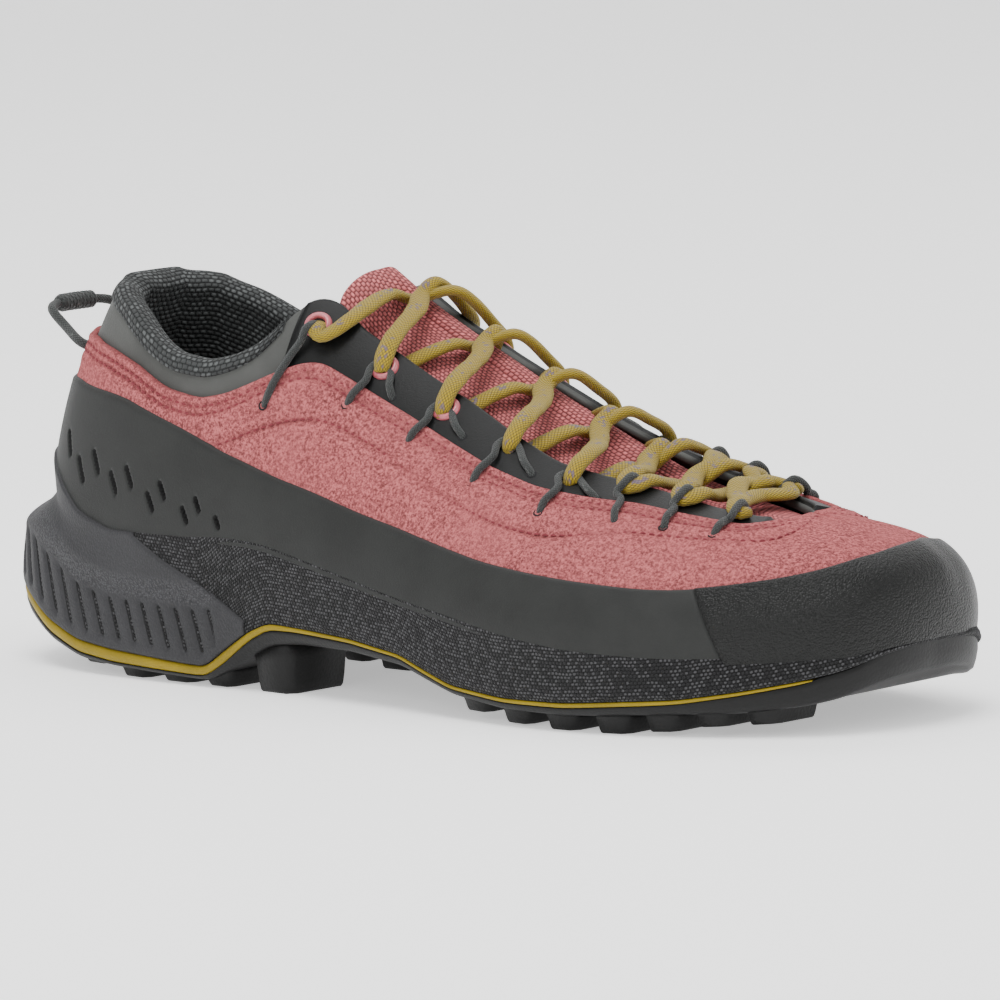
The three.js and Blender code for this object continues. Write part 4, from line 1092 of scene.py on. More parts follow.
@dataclass
class UpperSide:
    """The hollow upper with its suede, eyestays, rand and toe cap."""

    wardrobe: Wardrobe
    creases: tuple[Crease, ...] = (
        Crease([(4.3, .36), (4.75, .42), (5.3, .50)], -0.55, 3.0, BOTH),
        Crease([(7.4, .36), (7.9, .46), (8.2, .60)], -0.5, 2.8),
        Crease([(7.9, .36), (8.4, .48), (8.6, .62)], 0.35, 3.0),
        Crease([(8.5, .37), (8.9, .50), (9.0, .66)], -0.45, 2.6),
        Crease([(7.6, .38), (8.0, .48), (8.3, .62)], -0.5, 2.8, (Side.INNER,)),
        Crease([(8.6, .38), (8.9, .50), (9.1, .66)], -0.45, 2.8, (Side.INNER,)),
        Crease([(9.7, .46), (10.3, .60), (10.9, .82)], -0.4, 2.6, BOTH),
        Crease([(2.2, .44), (2.9, .40), (3.5, .35)], -0.4, 3.2, BOTH),
        Crease([(5.8, .36), (6.3, .42), (6.8, .40)], 0.35, 4.5, BOTH),
    )
    slots: tuple[Row, ...] = (  # row, share and length
        (2.06, .263, 7.0), (2.57, .231, 6.6), (3.05, .208, 6.0), (3.47, .190, 5.2),
        (3.90, .173, 4.4), (2.33, .212, 7.2), (2.83, .191, 6.2), (3.32, .162, 5.6),
        (3.74, .145, 4.8), (4.15, .145, 3.8),
    )
    slot_lean: float = 0.42
    slot_width: float = 1.6
    slot_depth: float = 1.9
    seam_gaps: tuple[float, float] = (2.2, 4.0)  # the two seams' distances below the suede's top
    seam_width: float = 0.42
    stitch: tuple[float, float, float] = (2.3, 1.5, 0.3)  # pitch, length and thickness

    def shell(self) -> Piece:
        """Builds the upper's own wall, with the smooth collar panel."""
        panel = Panel(0.0, TURN, lambda u: np.zeros_like(u), TOP_EDGE, -WALL, 0.12, 2.0,
                      rims=(False, False, False, False), wraps=True, creases=self.creases)
        piece = skin_object("collar_panel", panel.skin())
        return self.wardrobe.dress(piece, LOOKS.collar, "upper")

    def seams(self, uu: Array, vv: Array, base: Array) -> tuple[Array, dict[str, Array]]:
        """Returns the troughs and marks of the suede's sewn lines."""
        girth = LAST.girth(uu[:, 0])[:, None]
        row, _ = fold(uu)
        below = (SUEDE_TOP(uu) - vv) * girth
        gap = np.minimum(*(np.abs(below - seam) for seam in self.seam_gaps))
        low = np.abs((STITCH_LOW(uu) - vv) * girth) + 50 * (row < 3.6) + 50 * (row > 11.4)
        open_toe = smoothstep(row, 10.6, 10.2)
        seam = np.exp(-0.5 * (gap / self.seam_width) ** 2) * open_toe
        seam = seam + np.exp(-0.5 * (low / self.seam_width) ** 2)
        swell = 0.25 * np.exp(-0.5 * ((gap - 1.6) / 1.0) ** 2)
        return swell * open_toe - 0.26 * seam, {"seam": np.clip(seam, 0, 1)}

    def suede(self) -> Piece:
        """Builds the suede from the rand to the collar and the lacing."""
        panel = Panel(0.0, TURN, RAND_TOP.moved(-3.0), SUEDE_TOP, 0.3, SUEDE_OUT, 1.5,
                      rims=(False, True, False, False), wraps=True, creases=self.creases,
                      detail=self.seams, row_step=1.0)
        piece = skin_object("suede_upper", panel.skin())
        return self.wardrobe.dress(piece, LOOKS.suede, "suede_overlay")

    def threads(self) -> Piece:
        """Sews the suede's two rows along its top and the single row below."""
        lines = []
        for side in Side:
            ends = sorted((side.girth(0.02), side.girth(10.55)))
            for gap in self.seam_gaps:
                lines.append(along_edge(SUEDE_TOP.moved(-gap), *ends, SUEDE_OUT - 0.18))
            ends = sorted((side.girth(4.08), side.girth(11.25)))
            lines.append(along_edge(STITCH_LOW, *ends, SUEDE_OUT - 0.3))
        piece = stitches("suede_stitches", lines, *self.stitch)
        return self.wardrobe.dress(piece, LOOKS.thread)

    def slot_marks(self, uu: Array, vv: Array, base: Array) -> tuple[Array, dict[str, Array]]:
        """Returns the depth and the marks of the slanted slots beside the heel."""
        depth = np.zeros_like(uu)  # one in the middle of a slot, a half at its edge
        for row, share, length in self.slots:
            for side in Side:
                u = np.array(side.girth(row), float)
                centre, normal = LAST.point(u, share), LAST.normal(u, share)
                up = LAST.point(u, share + 0.01) - LAST.point(u, share - 0.01)
                up = unit(up - normal * (up @ normal))
                lean = -side.value * self.slot_lean
                axis = up * math.cos(lean) + np.cross(normal, up) * math.sin(lean)
                near = np.linalg.norm(base - centre, axis=-1) < length
                offset = base[near] - centre
                half = length / 2 - self.slot_width / 2
                along = np.clip(offset @ axis, -half, half)[:, None] * axis
                gap = offset - along - (offset @ normal)[:, None] * normal
                here = np.clip(1 - np.linalg.norm(gap, axis=-1) / self.slot_width, 0, 1)
                depth[near] = np.maximum(depth[near], here)
        # the slot mark makes the shader paint shade inside the slots
        return -self.slot_depth * smoothstep(depth, 0.45, 0.95), {"slot": depth}

    def rand(self, sole: "Sole") -> Piece:
        """Builds the smooth rand round the back and sides, with its slots."""
        under = 0.05  # the rand runs on under the cap
        start, end = TURN - CAP_SEAM[0] - under, TURN + CAP_SEAM[0] + under
        slant = CAP_SEAM[0] - CAP_SEAM[1]
        places = (start, TURN - 4.5, TURN - 1.7, TURN + 1.7, TURN + 4.5, end)
        spans = zip(places, places[1:], (1.5, 0.45, 1.1, 0.45, 1.5))  # finest at the slots
        parts = [even_columns(first, last, step)[:-1] for first, last, step in spans]
        panel = Panel(start, end, sole.over_rim(-1.6), RAND_TOP, 0.35, RAND_OUT, roll=1.3,
                      columns=np.concatenate(parts + [[end]]), rims=(False, True, False, False),
                      creases=self.creases[:2], detail=self.slot_marks, row_step=0.5,
                      slant=(slant, -slant))
        piece = skin_object("rand_layer", panel.skin())
        return self.wardrobe.dress(piece, LOOKS.rand, "rand")

    def toe_cap(self, sole: "Sole") -> Piece:
        """Builds the grained rubber cap over the toe."""
        start, end = CAP_SEAM[0] - 0.02, TURN - CAP_SEAM[0] + 0.02
        slant = CAP_SEAM[0] - CAP_SEAM[1]
        panel = Panel(start, end, sole.over_rim(-1.6), RAND_TOP.moved(0.2), 0.35, CAP_OUT, 1.2,
                      rims=(False, True, True, True), roll=1.6, row_step=0.9, slant=(-slant, slant))
        piece = skin_object("toe_guard", panel.skin())
        return self.wardrobe.dress(piece, LOOKS.toe, "toe_cap")

    def eyestays(self) -> list[Piece]:
        """Builds the smooth stays that carry the lacing."""
        pieces = []
        for side in Side:
            node = f"eyestay_{side.label}"
            ends = sorted((side.girth(4.60), side.girth(10.2)))
            panel = Panel(*ends, SUEDE_TOP.moved(-2.0), TOP_EDGE.moved(-0.1), 0.1, STAY_OUT, 1.1,
                          rims=(False, True, True, True), creases=self.creases[:2], row_step=0.9,
                          roll=0.8)
            piece = skin_object(f"{node}_layer", panel.skin())
            pieces.append(self.wardrobe.dress(piece, LOOKS.smooth, node))
        return pieces

    def build(self, sole: "Sole") -> None:
        """Builds every layer of the upper."""
        self.shell()
        self.suede()
        self.threads()
        self.rand(sole)
        self.toe_cap(sole)
        self.eyestays()


@dataclass
class Collar:
    """The padded knit lining and the binding that folds over the collar's edge."""

    wardrobe: Wardrobe
    depth: float = 34.0
    row: float = 4.5
    padding: tuple[float, ...] = (1.6, 4.4, 5.8, 5.6, 4.6)
    fold_out: float = 2.6
    rise: float = 2.2

    def build(self) -> Piece:
        """Builds the lining as one closed roll along the collar."""
        u = even_columns(TURN - self.row, TURN + self.row, 1.5, 0.5)
        girth, top = LAST.girth(u), TOP_EDGE(u)
        ease = smoothstep(np.minimum(u - u[0], u[-1] - u), 0.0, 0.35)
        spots: list[tuple[Array, Array]] = []
        for t in np.linspace(0, 1, 22):
            pad = np.interp(t, np.linspace(0, 1, 5), self.padding)
            spots.append((top - self.depth * (1 - t) / girth,
                          -WALL - 0.7 - pad * (0.35 + 0.65 * ease)))
        start, end = spots[-1][1], np.full_like(u, 0.85)
        for angle in np.linspace(0.12, 1.0, 12) * math.pi:
            across = (1 - math.cos(angle)) / 2
            spots.append((top + self.rise * math.sin(angle) / girth,
                          start + (end - start) * across))
        for share, lift in ((0.5, end + 0.1), (0.9, end), (1, end * 0.0), (1, end * 0.0 - 1.2)):
            spots.append((top - self.fold_out * share / girth, lift))
        outer = np.stack([LAST.form(u, v, d) for v, d in spots], 1)
        climb = climb_of(outer)
        uv = np.stack([run_of(outer[:, 20])[:, None] + np.zeros_like(climb), climb], -1)
        inner = LAST.form(u, top - self.depth / girth, -WALL - 0.7)
        share = np.clip(climb / climb[:, -1:], 0, 1)[..., None]
        back = inner[:, None] * (1 - share) + outer[:, -1][:, None] * share
        skin = Skin(outer[:, ::-1], uv[:, ::-1], {}, back[:, ::-1])
        piece = skin_object("padded_collar", skin)
        return self.wardrobe.dress(piece, LOOKS.lining, "collar_lining")


@dataclass
class Tongue:
    """The padded mesh tongue."""

    wardrobe: Wardrobe
    thickness: float = 4.2
    table: tuple[Row, ...] = (  # row, side share and thickness
        (4.78, .80, 1.2), (4.86, .72, 1.6), (5.0, .68, 1.7), (5.15, .655, 1.5), (5.35, .64, 1.2),
        (5.8, .64, 1), (6.5, .64, 1), (7.2, .64, .9), (8, .68, .9), (9, .70, .8), (10, .74, .7),
        (10.7, .84, .6), (11.4, .90, .5),
    )
    crowns: tuple[Row, ...] = ((6.1, .5), (7.0, .5), (7.8, .45), (8.6, .4), (9.3, .3))

    @staticmethod
    def sink(rows: Array | float) -> Array:
        """Returns how far the tongue lies below the form's crown at each row."""
        return 6.4 * smoothstep(rows, 10.4, 7.8) * (0.3 + 0.7 * smoothstep(rows, 4.8, 5.3))

    def build(self) -> Piece:
        """Builds the tongue as one crowned pad."""
        line = smooth_line([(20 * a, 100 * b, 10 * c) for a, b, c in self.table], 1.0)
        rows, sides, thick = line[:, 0] / 20, line[:, 1] / 100, line[:, 2] / 10
        cross = np.sin(np.linspace(-math.pi / 2, math.pi / 2, 61))
        u = np.where(cross[None] < 0, rows[:, None], TURN - rows[:, None])
        v = 1 - np.abs(cross)[None] * (1 - sides[:, None])
        rim = np.sqrt(np.clip(1 - np.abs(cross) ** 6, 0, 1))[None]
        ends = np.minimum(np.arange(len(rows)), np.arange(len(rows))[::-1]) / 3.0
        rim = rim * np.sqrt(1 - np.clip(1 - ends, 0, 1) ** 2)[:, None]
        crown = sum(0.5 * size * np.exp(-0.5 * ((rows - row) / 0.22) ** 2)
                    for row, size in self.crowns)
        puff = (0.5 + crown[:, None]) * (1 - cross[None] ** 2)
        flank = np.where(cross < 0, 1 - 0.75 * cross ** 2, 1 - 0.85 * smoothstep(cross, -0.1, 0.6))
        sink = self.sink(rows)[:, None] * flank[None]
        half = 0.5 * thick[:, None] * self.thickness
        middle = -WALL - 0.8 - sink - half
        top = LAST.form(u, v, middle + half * rim + puff * rim)
        low = LAST.form(u, v, middle - half * rim)
        width = climb_of(top)
        run = run_of(top[:, 30])[:, None] + np.zeros_like(width)
        uv = np.stack([run, width - width[:, 30:31]], -1)
        piece = skin_object("padded_tongue", Skin(top, uv, {}, low))
        return self.wardrobe.dress(piece, LOOKS.tongue, "tongue")


@dataclass
class Sole:
    """The cupped midsole, heel cradle, coloured layer, lugged outsole and insole."""

    wardrobe: Wardrobe
    length: float = 278.0
    heel_ledge: float = 12.5
    cup: float = 24.0
    ball_stack: float = 16.5
    side: Array = field(default_factory=lambda: np.array([  # station, plate, rubber, accent, rim
        [0, .533, .700, .800, 1.021], [.022, .433, .583, .683, 1.021],
        [.058, .340, .460, .560, .98], [.094, .222, .296, .397, .80],
        [.137, .123, .178, .280, .478], [.183, .090, .132, .236, .343],
        [.234, .075, .117, .213, .370], [.281, .062, .104, .189, .401],
        [.302, .062, .104, .190, .429], [.327, .170, .250, .368, .466],
        [.356, .345, .463, .568, .481], [.381, .469, .594, .684, .479],
        [.417, .524, .620, .694, .437], [.486, .565, .640, .712, .368],
        [.550, .530, .602, .666, .299], [.615, .300, .350, .422, .249],
        [.680, .220, .285, .375, .182], [.748, .225, .297, .409, .127],
        [.806, .290, .380, .497, .114], [.856, .330, .445, .547, .094],
        [.903, .340, .560, .650, .090], [.950, .410, .700, .765, .090],
        [.975, .490, .800, .850, .090], [1, .68, 1.0, 1.04, .15],
    ]))
    ledges: Array = field(default_factory=lambda: np.array([
        [1, 1], [.86, .86], [.5, .5], [.36, .36], [.3, .3], [.24, .26], [.24, .24], [.24, .24],
        [.25, .25], [.28, .26], [.3, .32], [.29, .36], [.22, .3], [.2, .2],
    ]))
    # share of the side's height, its step outwards at the heel and at the ball
    steps: Array = field(default_factory=lambda: np.array([
        [0, -.9, -.8], [.06, -.8, -.3], [.12, -.9, 0], [.22, -1.2, .15], [.3, -1.5, .2],
        [.44, -1.9, 0], [.52, -1.9, 0], [.60, -1.3, 0], [.66, -.9, -.1], [.8, -.4, -.1],
        [.93, -.1, 0], [1, 0, 0],
    ]))
    cradle_edge: tuple[Row, ...] = (
        (.0, 3), (.21, 3), (.216, .33), (.252, .13), (.288, -.03), (.324, -.22), (.365, -.4),
    )
    lugs: tuple[Row, ...] = (  # from, to, bottom, inner and outer reach
        (.076, .119, .40, .48, 1), (.133, .169, .14, .45, 1), (.183, .221, 0, .45, 1),
        (.236, .277, 0, .45, 1), (.291, .326, 0, .5, 1), (.350, .402, 0, .34, 1),
        (.619, .655, .13, .5, 1), (.669, .705, .03, .56, 1), (.719, .755, 0, .58, 1),
        (.770, .806, 0, .58, 1), (.818, .848, .06, .58, 1), (.861, .888, .15, .55, 1),
        (.900, .926, .19, .5, 1), (.642, .674, .08, .1, .42), (.694, .727, 0, .1, .46),
        (.745, .778, 0, .1, .48), (.795, .827, 0, .1, .48), (.151, .187, .05, .08, .36),
        (.207, .243, 0, .08, .36),
    )
    smooth_toe: float = 0.81  # station past which only the outer edge has lugs
    groove_span: tuple[float, float] = (14.0, 95.0)  # first and last groove of the cradle
    groove_count: int = 15
    cradle_end: float = 4.45  # row of the last
    cradle_wall: float = 0.75

    def share(self, name: str, x: Array) -> Array:
        """Returns a named share of the side at a station."""
        column = ("station", "plate", "rubber", "accent", "rim").index(name)
        offsets = np.linspace(-2.0, 2.0, 7)
        return sum(np.interp((x + o) / self.length, self.side[:, 0], self.side[:, column])
                   for o in offsets) / 7

    def outline(self, u: Array) -> Array:
        """Returns the sole's outline at each girth position."""
        row, side = fold(u)
        grid = np.arange(len(self.ledges))
        reach = np.where(side < 0, *(np.interp(row, grid, column) for column in self.ledges.T))
        return LAST.feather(u) + LAST.outward(u) * (self.heel_ledge * reach)[..., None]

    def layer(self, name: str, u: Array) -> Array:
        """Returns the height of a layer at each girth position."""
        return self.share(name, self.outline(u)[..., 0]) * LAST.feather(u)[..., 2]

    def rim_height(self, u: Array) -> Array:
        """Returns the height of the cup's rim."""
        return LAST.feather(u)[..., 2] + self.share("rim", self.outline(u)[..., 0]) * self.cup

    def over_rim(self, gap: float) -> Curve:
        """Returns the line on the upper a gap above the rim."""
        return lambda u: share_at_height(u, self.rim_height(u) + gap, SEAT + 1.0)

    def wall(self, u: Array, share: Array, bottom: Array) -> Array:
        """Returns the side's points.

        Args:
            u: girth positions.
            share: shares of the way up from bottom to the rim.
            bottom: height where the side starts.

        Returns:
            The points, of the shape of u and share together.
        """
        height = self.rim_height(u)
        lip = SEAT + 2.3
        rim = LAST.form(u, share_at_height(u, height, lip), lip)
        base = self.outline(u)
        heel = 1 - smoothstep(base[..., 0] / self.length, 0.3, 0.46)
        step = sum(weight * np.interp(share, self.steps[:, 0], self.steps[:, n])
                   for weight, n in ((heel, 1), (1 - heel, 2)))
        back = 0.13 * smoothstep(fold(u)[0], 2.0, 0.6)
        low = 0.42 + 0.1 * heel - back
        lip_share = 0.8 + 0.25 * smoothstep(base[..., 0] / self.length, 0.08, 0.22) - back
        lean = np.clip((share - low) / (lip_share - low), 0, 1)
        lean = lean * lean * (3 - 2 * lean)
        lean = np.where(share >= 0.94, lean + (1 - lean) * smoothstep(share, 0.94, 1.0), lean)
        step = (step * smoothstep(share, 1.0, 0.97))[..., None]
        point = base + (rim - base) * lean[..., None] + LAST.outward(u) * step
        point[..., 2] = bottom + (height - bottom) * share
        return point

    def cradle_skin(self, columns: Array, rows: Array) -> Skin:
        """Returns the heel cradle's layer on the sole's side.

        Args:
            columns: girth positions.
            rows: shares of the way up the cradle.

        Returns:
            The layer.
        """
        uu = np.repeat(columns[:, None], len(rows), 1)
        ss = self.cradle_share(columns)[:, None] * rows

        def side(shift: float, climb: float) -> Array:
            """Returns the side's points a little further round or up."""
            return self.wall(uu + shift, ss + climb, self.accent_top(uu + shift))

        base = side(0.0, 0.0)
        normal = unit(np.cross(side(0.01, 0.0) - side(-0.01, 0.0),
                               side(0.0, 0.01) - side(0.0, -0.01)))
        climb = climb_of(base)
        run = run_of(base[:, len(rows) // 2])
        edge = rim_gap((True, True, False, False), climb, climb[:, -1:], run)
        extra, marks = self.grooves(uu, ss, base)
        rise = rolled(edge, 0.7, 0.0, self.cradle_wall) + extra
        uv = np.stack([run[:, None] + np.zeros_like(climb), climb + base[:, :1, 2]], -1)
        marks = {"edge": np.minimum(edge, 30)} | marks
        return Skin(base + normal * rise[..., None], uv, marks, base - normal * 0.3)

    def rubber_top(self, u: Array) -> Array:
        """Returns the height where the rubber ends, close under the rim at the toe."""
        row, low = fold(u)[0], self.layer("rubber", u)
        rise = 0.4 * smoothstep(self.outline(u)[..., 0] / self.length, 0.3, 0.42)
        rise = rise + (1.0 - rise) * smoothstep(row, 10.85, 11.1)
        top = self.accent_top(u)
        toe = (self.rim_height(u) - 0.5 - top) * smoothstep(row, 11.5, 12.5)
        return low + (top - low) * rise + toe

    def accent_top(self, u: Array) -> Array:
        """Returns the height where the side starts."""
        return self.layer("accent", u) + 0.15

    def slab(self, name: str, profile: Callable[[Array], list[Array]], step: float = 1.6) -> Piece:
        """Builds a closed body whose two sides have the same profile.

        Args:
            name: name of the piece.
            profile: gives the side's lines from the bottom up, each a point a girth position.
            step: distance between columns.

        Returns:
            The piece.
        """
        u = even_columns(0.0, LAST_ROW, step, 0.0)
        outer = np.stack(profile(u), 1)
        inner = np.stack(profile(np.where(u <= 0, 0, TURN - u)), 1)
        loop = np.concatenate([outer, inner[:, ::-1]], 1)
        columns, rows, _ = loop.shape
        faces = grid_faces(columns, rows, False, loops=True)
        run = run_of(outer[:, 0])[:, None] * np.where(np.arange(rows) < rows // 2, 1, -1)
        uv = np.stack([run, climb_of(loop)], -1)
        return tidy_mesh(write_mesh(name, loop.reshape(-1, 3), faces, uv.reshape(-1, 2)))

    def band(self, u: Array, low: Array, high: Array, steps: Sequence[tuple[float, float]],
             fade: Array) -> list[Array]:
        """Returns the lines of one side of a layer below the foam.

        Args:
            u: girth positions.
            low: the layer's bottom.
            high: its top.
            steps: share of its height and push outwards of each line.
            fade: one where the layer shows, 0 where it has sunk into the sole.

        Returns:
            A point a girth position for each line.
        """
        edge, out, lines = self.wall(u, np.zeros_like(u), high), LAST.outward(u), []
        for share, push in steps:
            point = edge + out * (push * fade - 1.6 * (1 - fade))[..., None]
            point[..., 2] = low + (high - low) * share - 1.5 * (1 - fade)
            lines.append(point)
        return lines

    def midsole(self) -> Piece:
        """Builds the foam body wrapped in woven-look mesh."""
        shares = np.concatenate([np.linspace(0, 0.9, 25), [0.93, 0.96, 0.98, 0.99, 1.0]])

        def profile(u: Array) -> list[Array]:
            """Returns the lines of one side."""
            bottom = self.accent_top(u)
            lines = [self.wall(u, np.full_like(u, s), bottom) for s in shares]
            top = self.rim_height(u)
            inside = share_at_height(u, top, 0.9)
            lip = LAST.form(u, inside, 0.9)
            lip[..., 2] = top + 0.15
            lines.append(lip)
            for t in (0.7, 0.35, 0.0):
                lines.append(LAST.form(u, inside * t, 0.15))
            lines[-1][..., 2] -= 0.2
            return lines

        piece = self.slab("mesh_midsole", profile, 1.3)
        return self.wardrobe.dress(piece, LOOKS.mesh, "midsole")

    def cradle_share(self, u: Array) -> Array:
        """Returns how far up the side the heel cradle reaches."""
        stations, drops = np.array(self.cradle_edge).T
        x = self.outline(u)[..., 0] / self.length
        height = LAST.feather(u)[..., 2] + np.interp(x, stations, drops) * self.cup
        bottom = self.accent_top(u)
        return np.clip((height - bottom) / (self.rim_height(u) - bottom), 0.0, 1.0)

    def grooves(self, uu: Array, ss: Array, base: Array) -> tuple[Array, dict[str, Array]]:
        """Returns the slanted grooves and the stippled ledge of the cradle, with the marks for
        painted shade in the grooves and a painted highlight on the ledge.
        """
        pitch = (self.groove_span[1] - self.groove_span[0]) / (self.groove_count - 1)
        lean = (base[..., 2] - 12.0) * 0.42
        phase = ((self.heel_run(uu) + lean - 3.0) / pitch) % 1.0
        gap = np.minimum(phase, 1 - phase) * pitch
        inside = smoothstep(ss, 0.07, 0.12) * smoothstep(ss, 0.46, 0.40)
        inside = inside * smoothstep(base[..., 0], 92.0, 84.0)
        groove = np.exp(-0.5 * (gap / 0.55) ** 2) * inside
        step = np.where(phase < 0.5, 1 - 2 * phase, 0) * inside * 0.35
        # ledge marks the band whose pebble tops the shader paints lighter: partly pale stipple,
        # partly painted highlight
        ledge = smoothstep(ss, 0.44, 0.5) * smoothstep(ss, 0.68, 0.6)
        # painted shade: a dark line drawn along each groove
        groove_shade_mask = np.clip(1 - gap / 1.1, 0, 1) * inside
        return -0.85 * groove - step, {"slot": groove_shade_mask, "ledge": ledge}

    def heel_run(self, u: Array) -> Array:
        """Returns the length along the outline from the back of the heel."""
        fine = np.linspace(0, 6, 600)
        return np.interp(fold(u)[0], fine, run_of(self.outline(fine)))

    def cradle(self) -> Piece:
        """Builds the heel cradle as a shell over the foam."""
        columns = even_columns(TURN - self.cradle_end, TURN + self.cradle_end, 0.5, 0.0)
        rows = np.concatenate([np.linspace(0, 0.9, 46), [0.93, 0.955, 0.975, 0.99, 1.0]])
        piece = skin_object("moulded_cradle", self.cradle_skin(columns, rows))
        return self.wardrobe.dress(piece, LOOKS.cradle, "heel_cradle")

    def accent(self) -> Piece:
        """Builds the thin coloured layer round the sole."""
        def profile(u: Array) -> list[Array]:
            """Returns the lines of one side."""
            high, low = self.accent_top(u) - 0.1, self.rubber_top(u)
            fade = smoothstep(fold(u)[0], 11.1, 10.9)
            high = np.maximum(low + (high - low) * fade, low + 0.2)
            steps = (0.0, -0.25), (0.15, 0.25), (0.5, 0.45), (0.85, 0.3), (1.0, -0.15)
            return self.band(u, low, high, steps, fade)

        piece = self.slab("accent_line", profile, 1.6)
        return self.wardrobe.dress(piece, LOOKS.accent, "sole_accent")

    def tread(self) -> Piece:
        """Builds the rubber plate with its lugs."""
        def profile(u: Array) -> list[Array]:
            """Returns the lines of one side."""
            steps = ((0, -4.5), (0, -2.2), (0.12, -1.0), (0.4, -0.35), (0.75, 0.1),
                     (0.95, 0.15), (1, -0.1))
            return self.band(u, self.layer("plate", u), self.rubber_top(u), steps, np.ones_like(u))

        pieces = [self.slab("outsole", profile, 2.0)]
        for row in self.lugs:
            for side in (Side.OUTER,) if row[0] > self.smooth_toe else Side:
                pieces.append(self.lug(row, side))
        return self.wardrobe.dress(joined(pieces, "tread"), LOOKS.outsole, "outsole")

    def row_at(self, x: float) -> float:
        """Returns the last's row beside a station of the sole."""
        fine = np.linspace(0, LAST_ROW, 800)
        return float(np.interp(x, self.outline(fine)[:, 0], fine))

    def lug(self, row: Sequence[float], side: Side) -> Piece:
        """Builds one lug with softened edges and a slanted face."""
        start, end, bottom_share, reach_in, reach_out = row
        bottom = bottom_share * self.ball_stack
        slant = 3.0 if reach_out < 1 else 1.5
        rings = []
        for drop, inset in ((0.0, -0.3), (0.35, 0.3), (0.8, 0.8), (0.95, 1.1), (1.0, 1.5)):
            ring = []
            for station, reach in self.lug_plan(start, end, reach_in, reach_out):
                k = np.array(self.row_at(station * self.length))
                u = side.girth(k)
                middle = LAST.section("y", k)
                half = abs(self.outline(u)[1] - middle) - 3.2
                outwards = 1 if reach > (reach_in + reach_out) / 2 else -1
                toward = 1 if station < (start + end) / 2 else -1
                x = station * self.length + slant * (1 - reach) + inset * toward * 0.8
                y = middle + side.value * (half * reach - inset * outwards * 0.8)
                plate = self.layer("plate", u)
                root = plate + 0.5 * (self.layer("rubber", u) - plate)
                ring.append([x, float(y), float(root + (bottom - root) * drop)])
            rings.append(ring)
        return pipe("lug", np.array(rings), flip=side is Side.OUTER)

    def lug_plan(self, start: float, end: float, low: float,
                 high: float) -> list[tuple[float, float]]:
        """Returns the corners of a lug seen from below, with cut corners."""
        cut_x, cut_y = (end - start) * 0.14, (high - low) * 0.1
        return [(start + cut_x, low), (end - cut_x, low), (end, low + cut_y), (end, high - cut_y),
                (end - cut_x, high), (start + cut_x, high), (start, high - cut_y),
                (start, low + cut_y)]

    def insole(self) -> Piece:
        """Builds the removable insole."""
        def profile(u: Array) -> list[Array]:
            """Returns the lines of one side."""
            inset = -WALL - 0.3
            bottom = LAST.feather(u)[..., 2]
            lines = []
            for rise in (0.0, 1.6, 3.2, 4.0, 4.3):
                point = LAST.form(u, share_at_height(u, bottom + rise, inset), inset)
                point = point - LAST.outward(u) * (0.9 if rise > 4.1 else 0.0)
                point[..., 2] = bottom + rise
                lines.append(point)
            return lines
        piece = self.slab("soft_insole", profile, 2.4)
        return self.wardrobe.dress(piece, LOOKS.insole, "insole")

    def build(self) -> None:
        """Builds every layer of the sole."""
        self.midsole()
        self.cradle()
        self.accent()
        self.tread()
        self.insole()


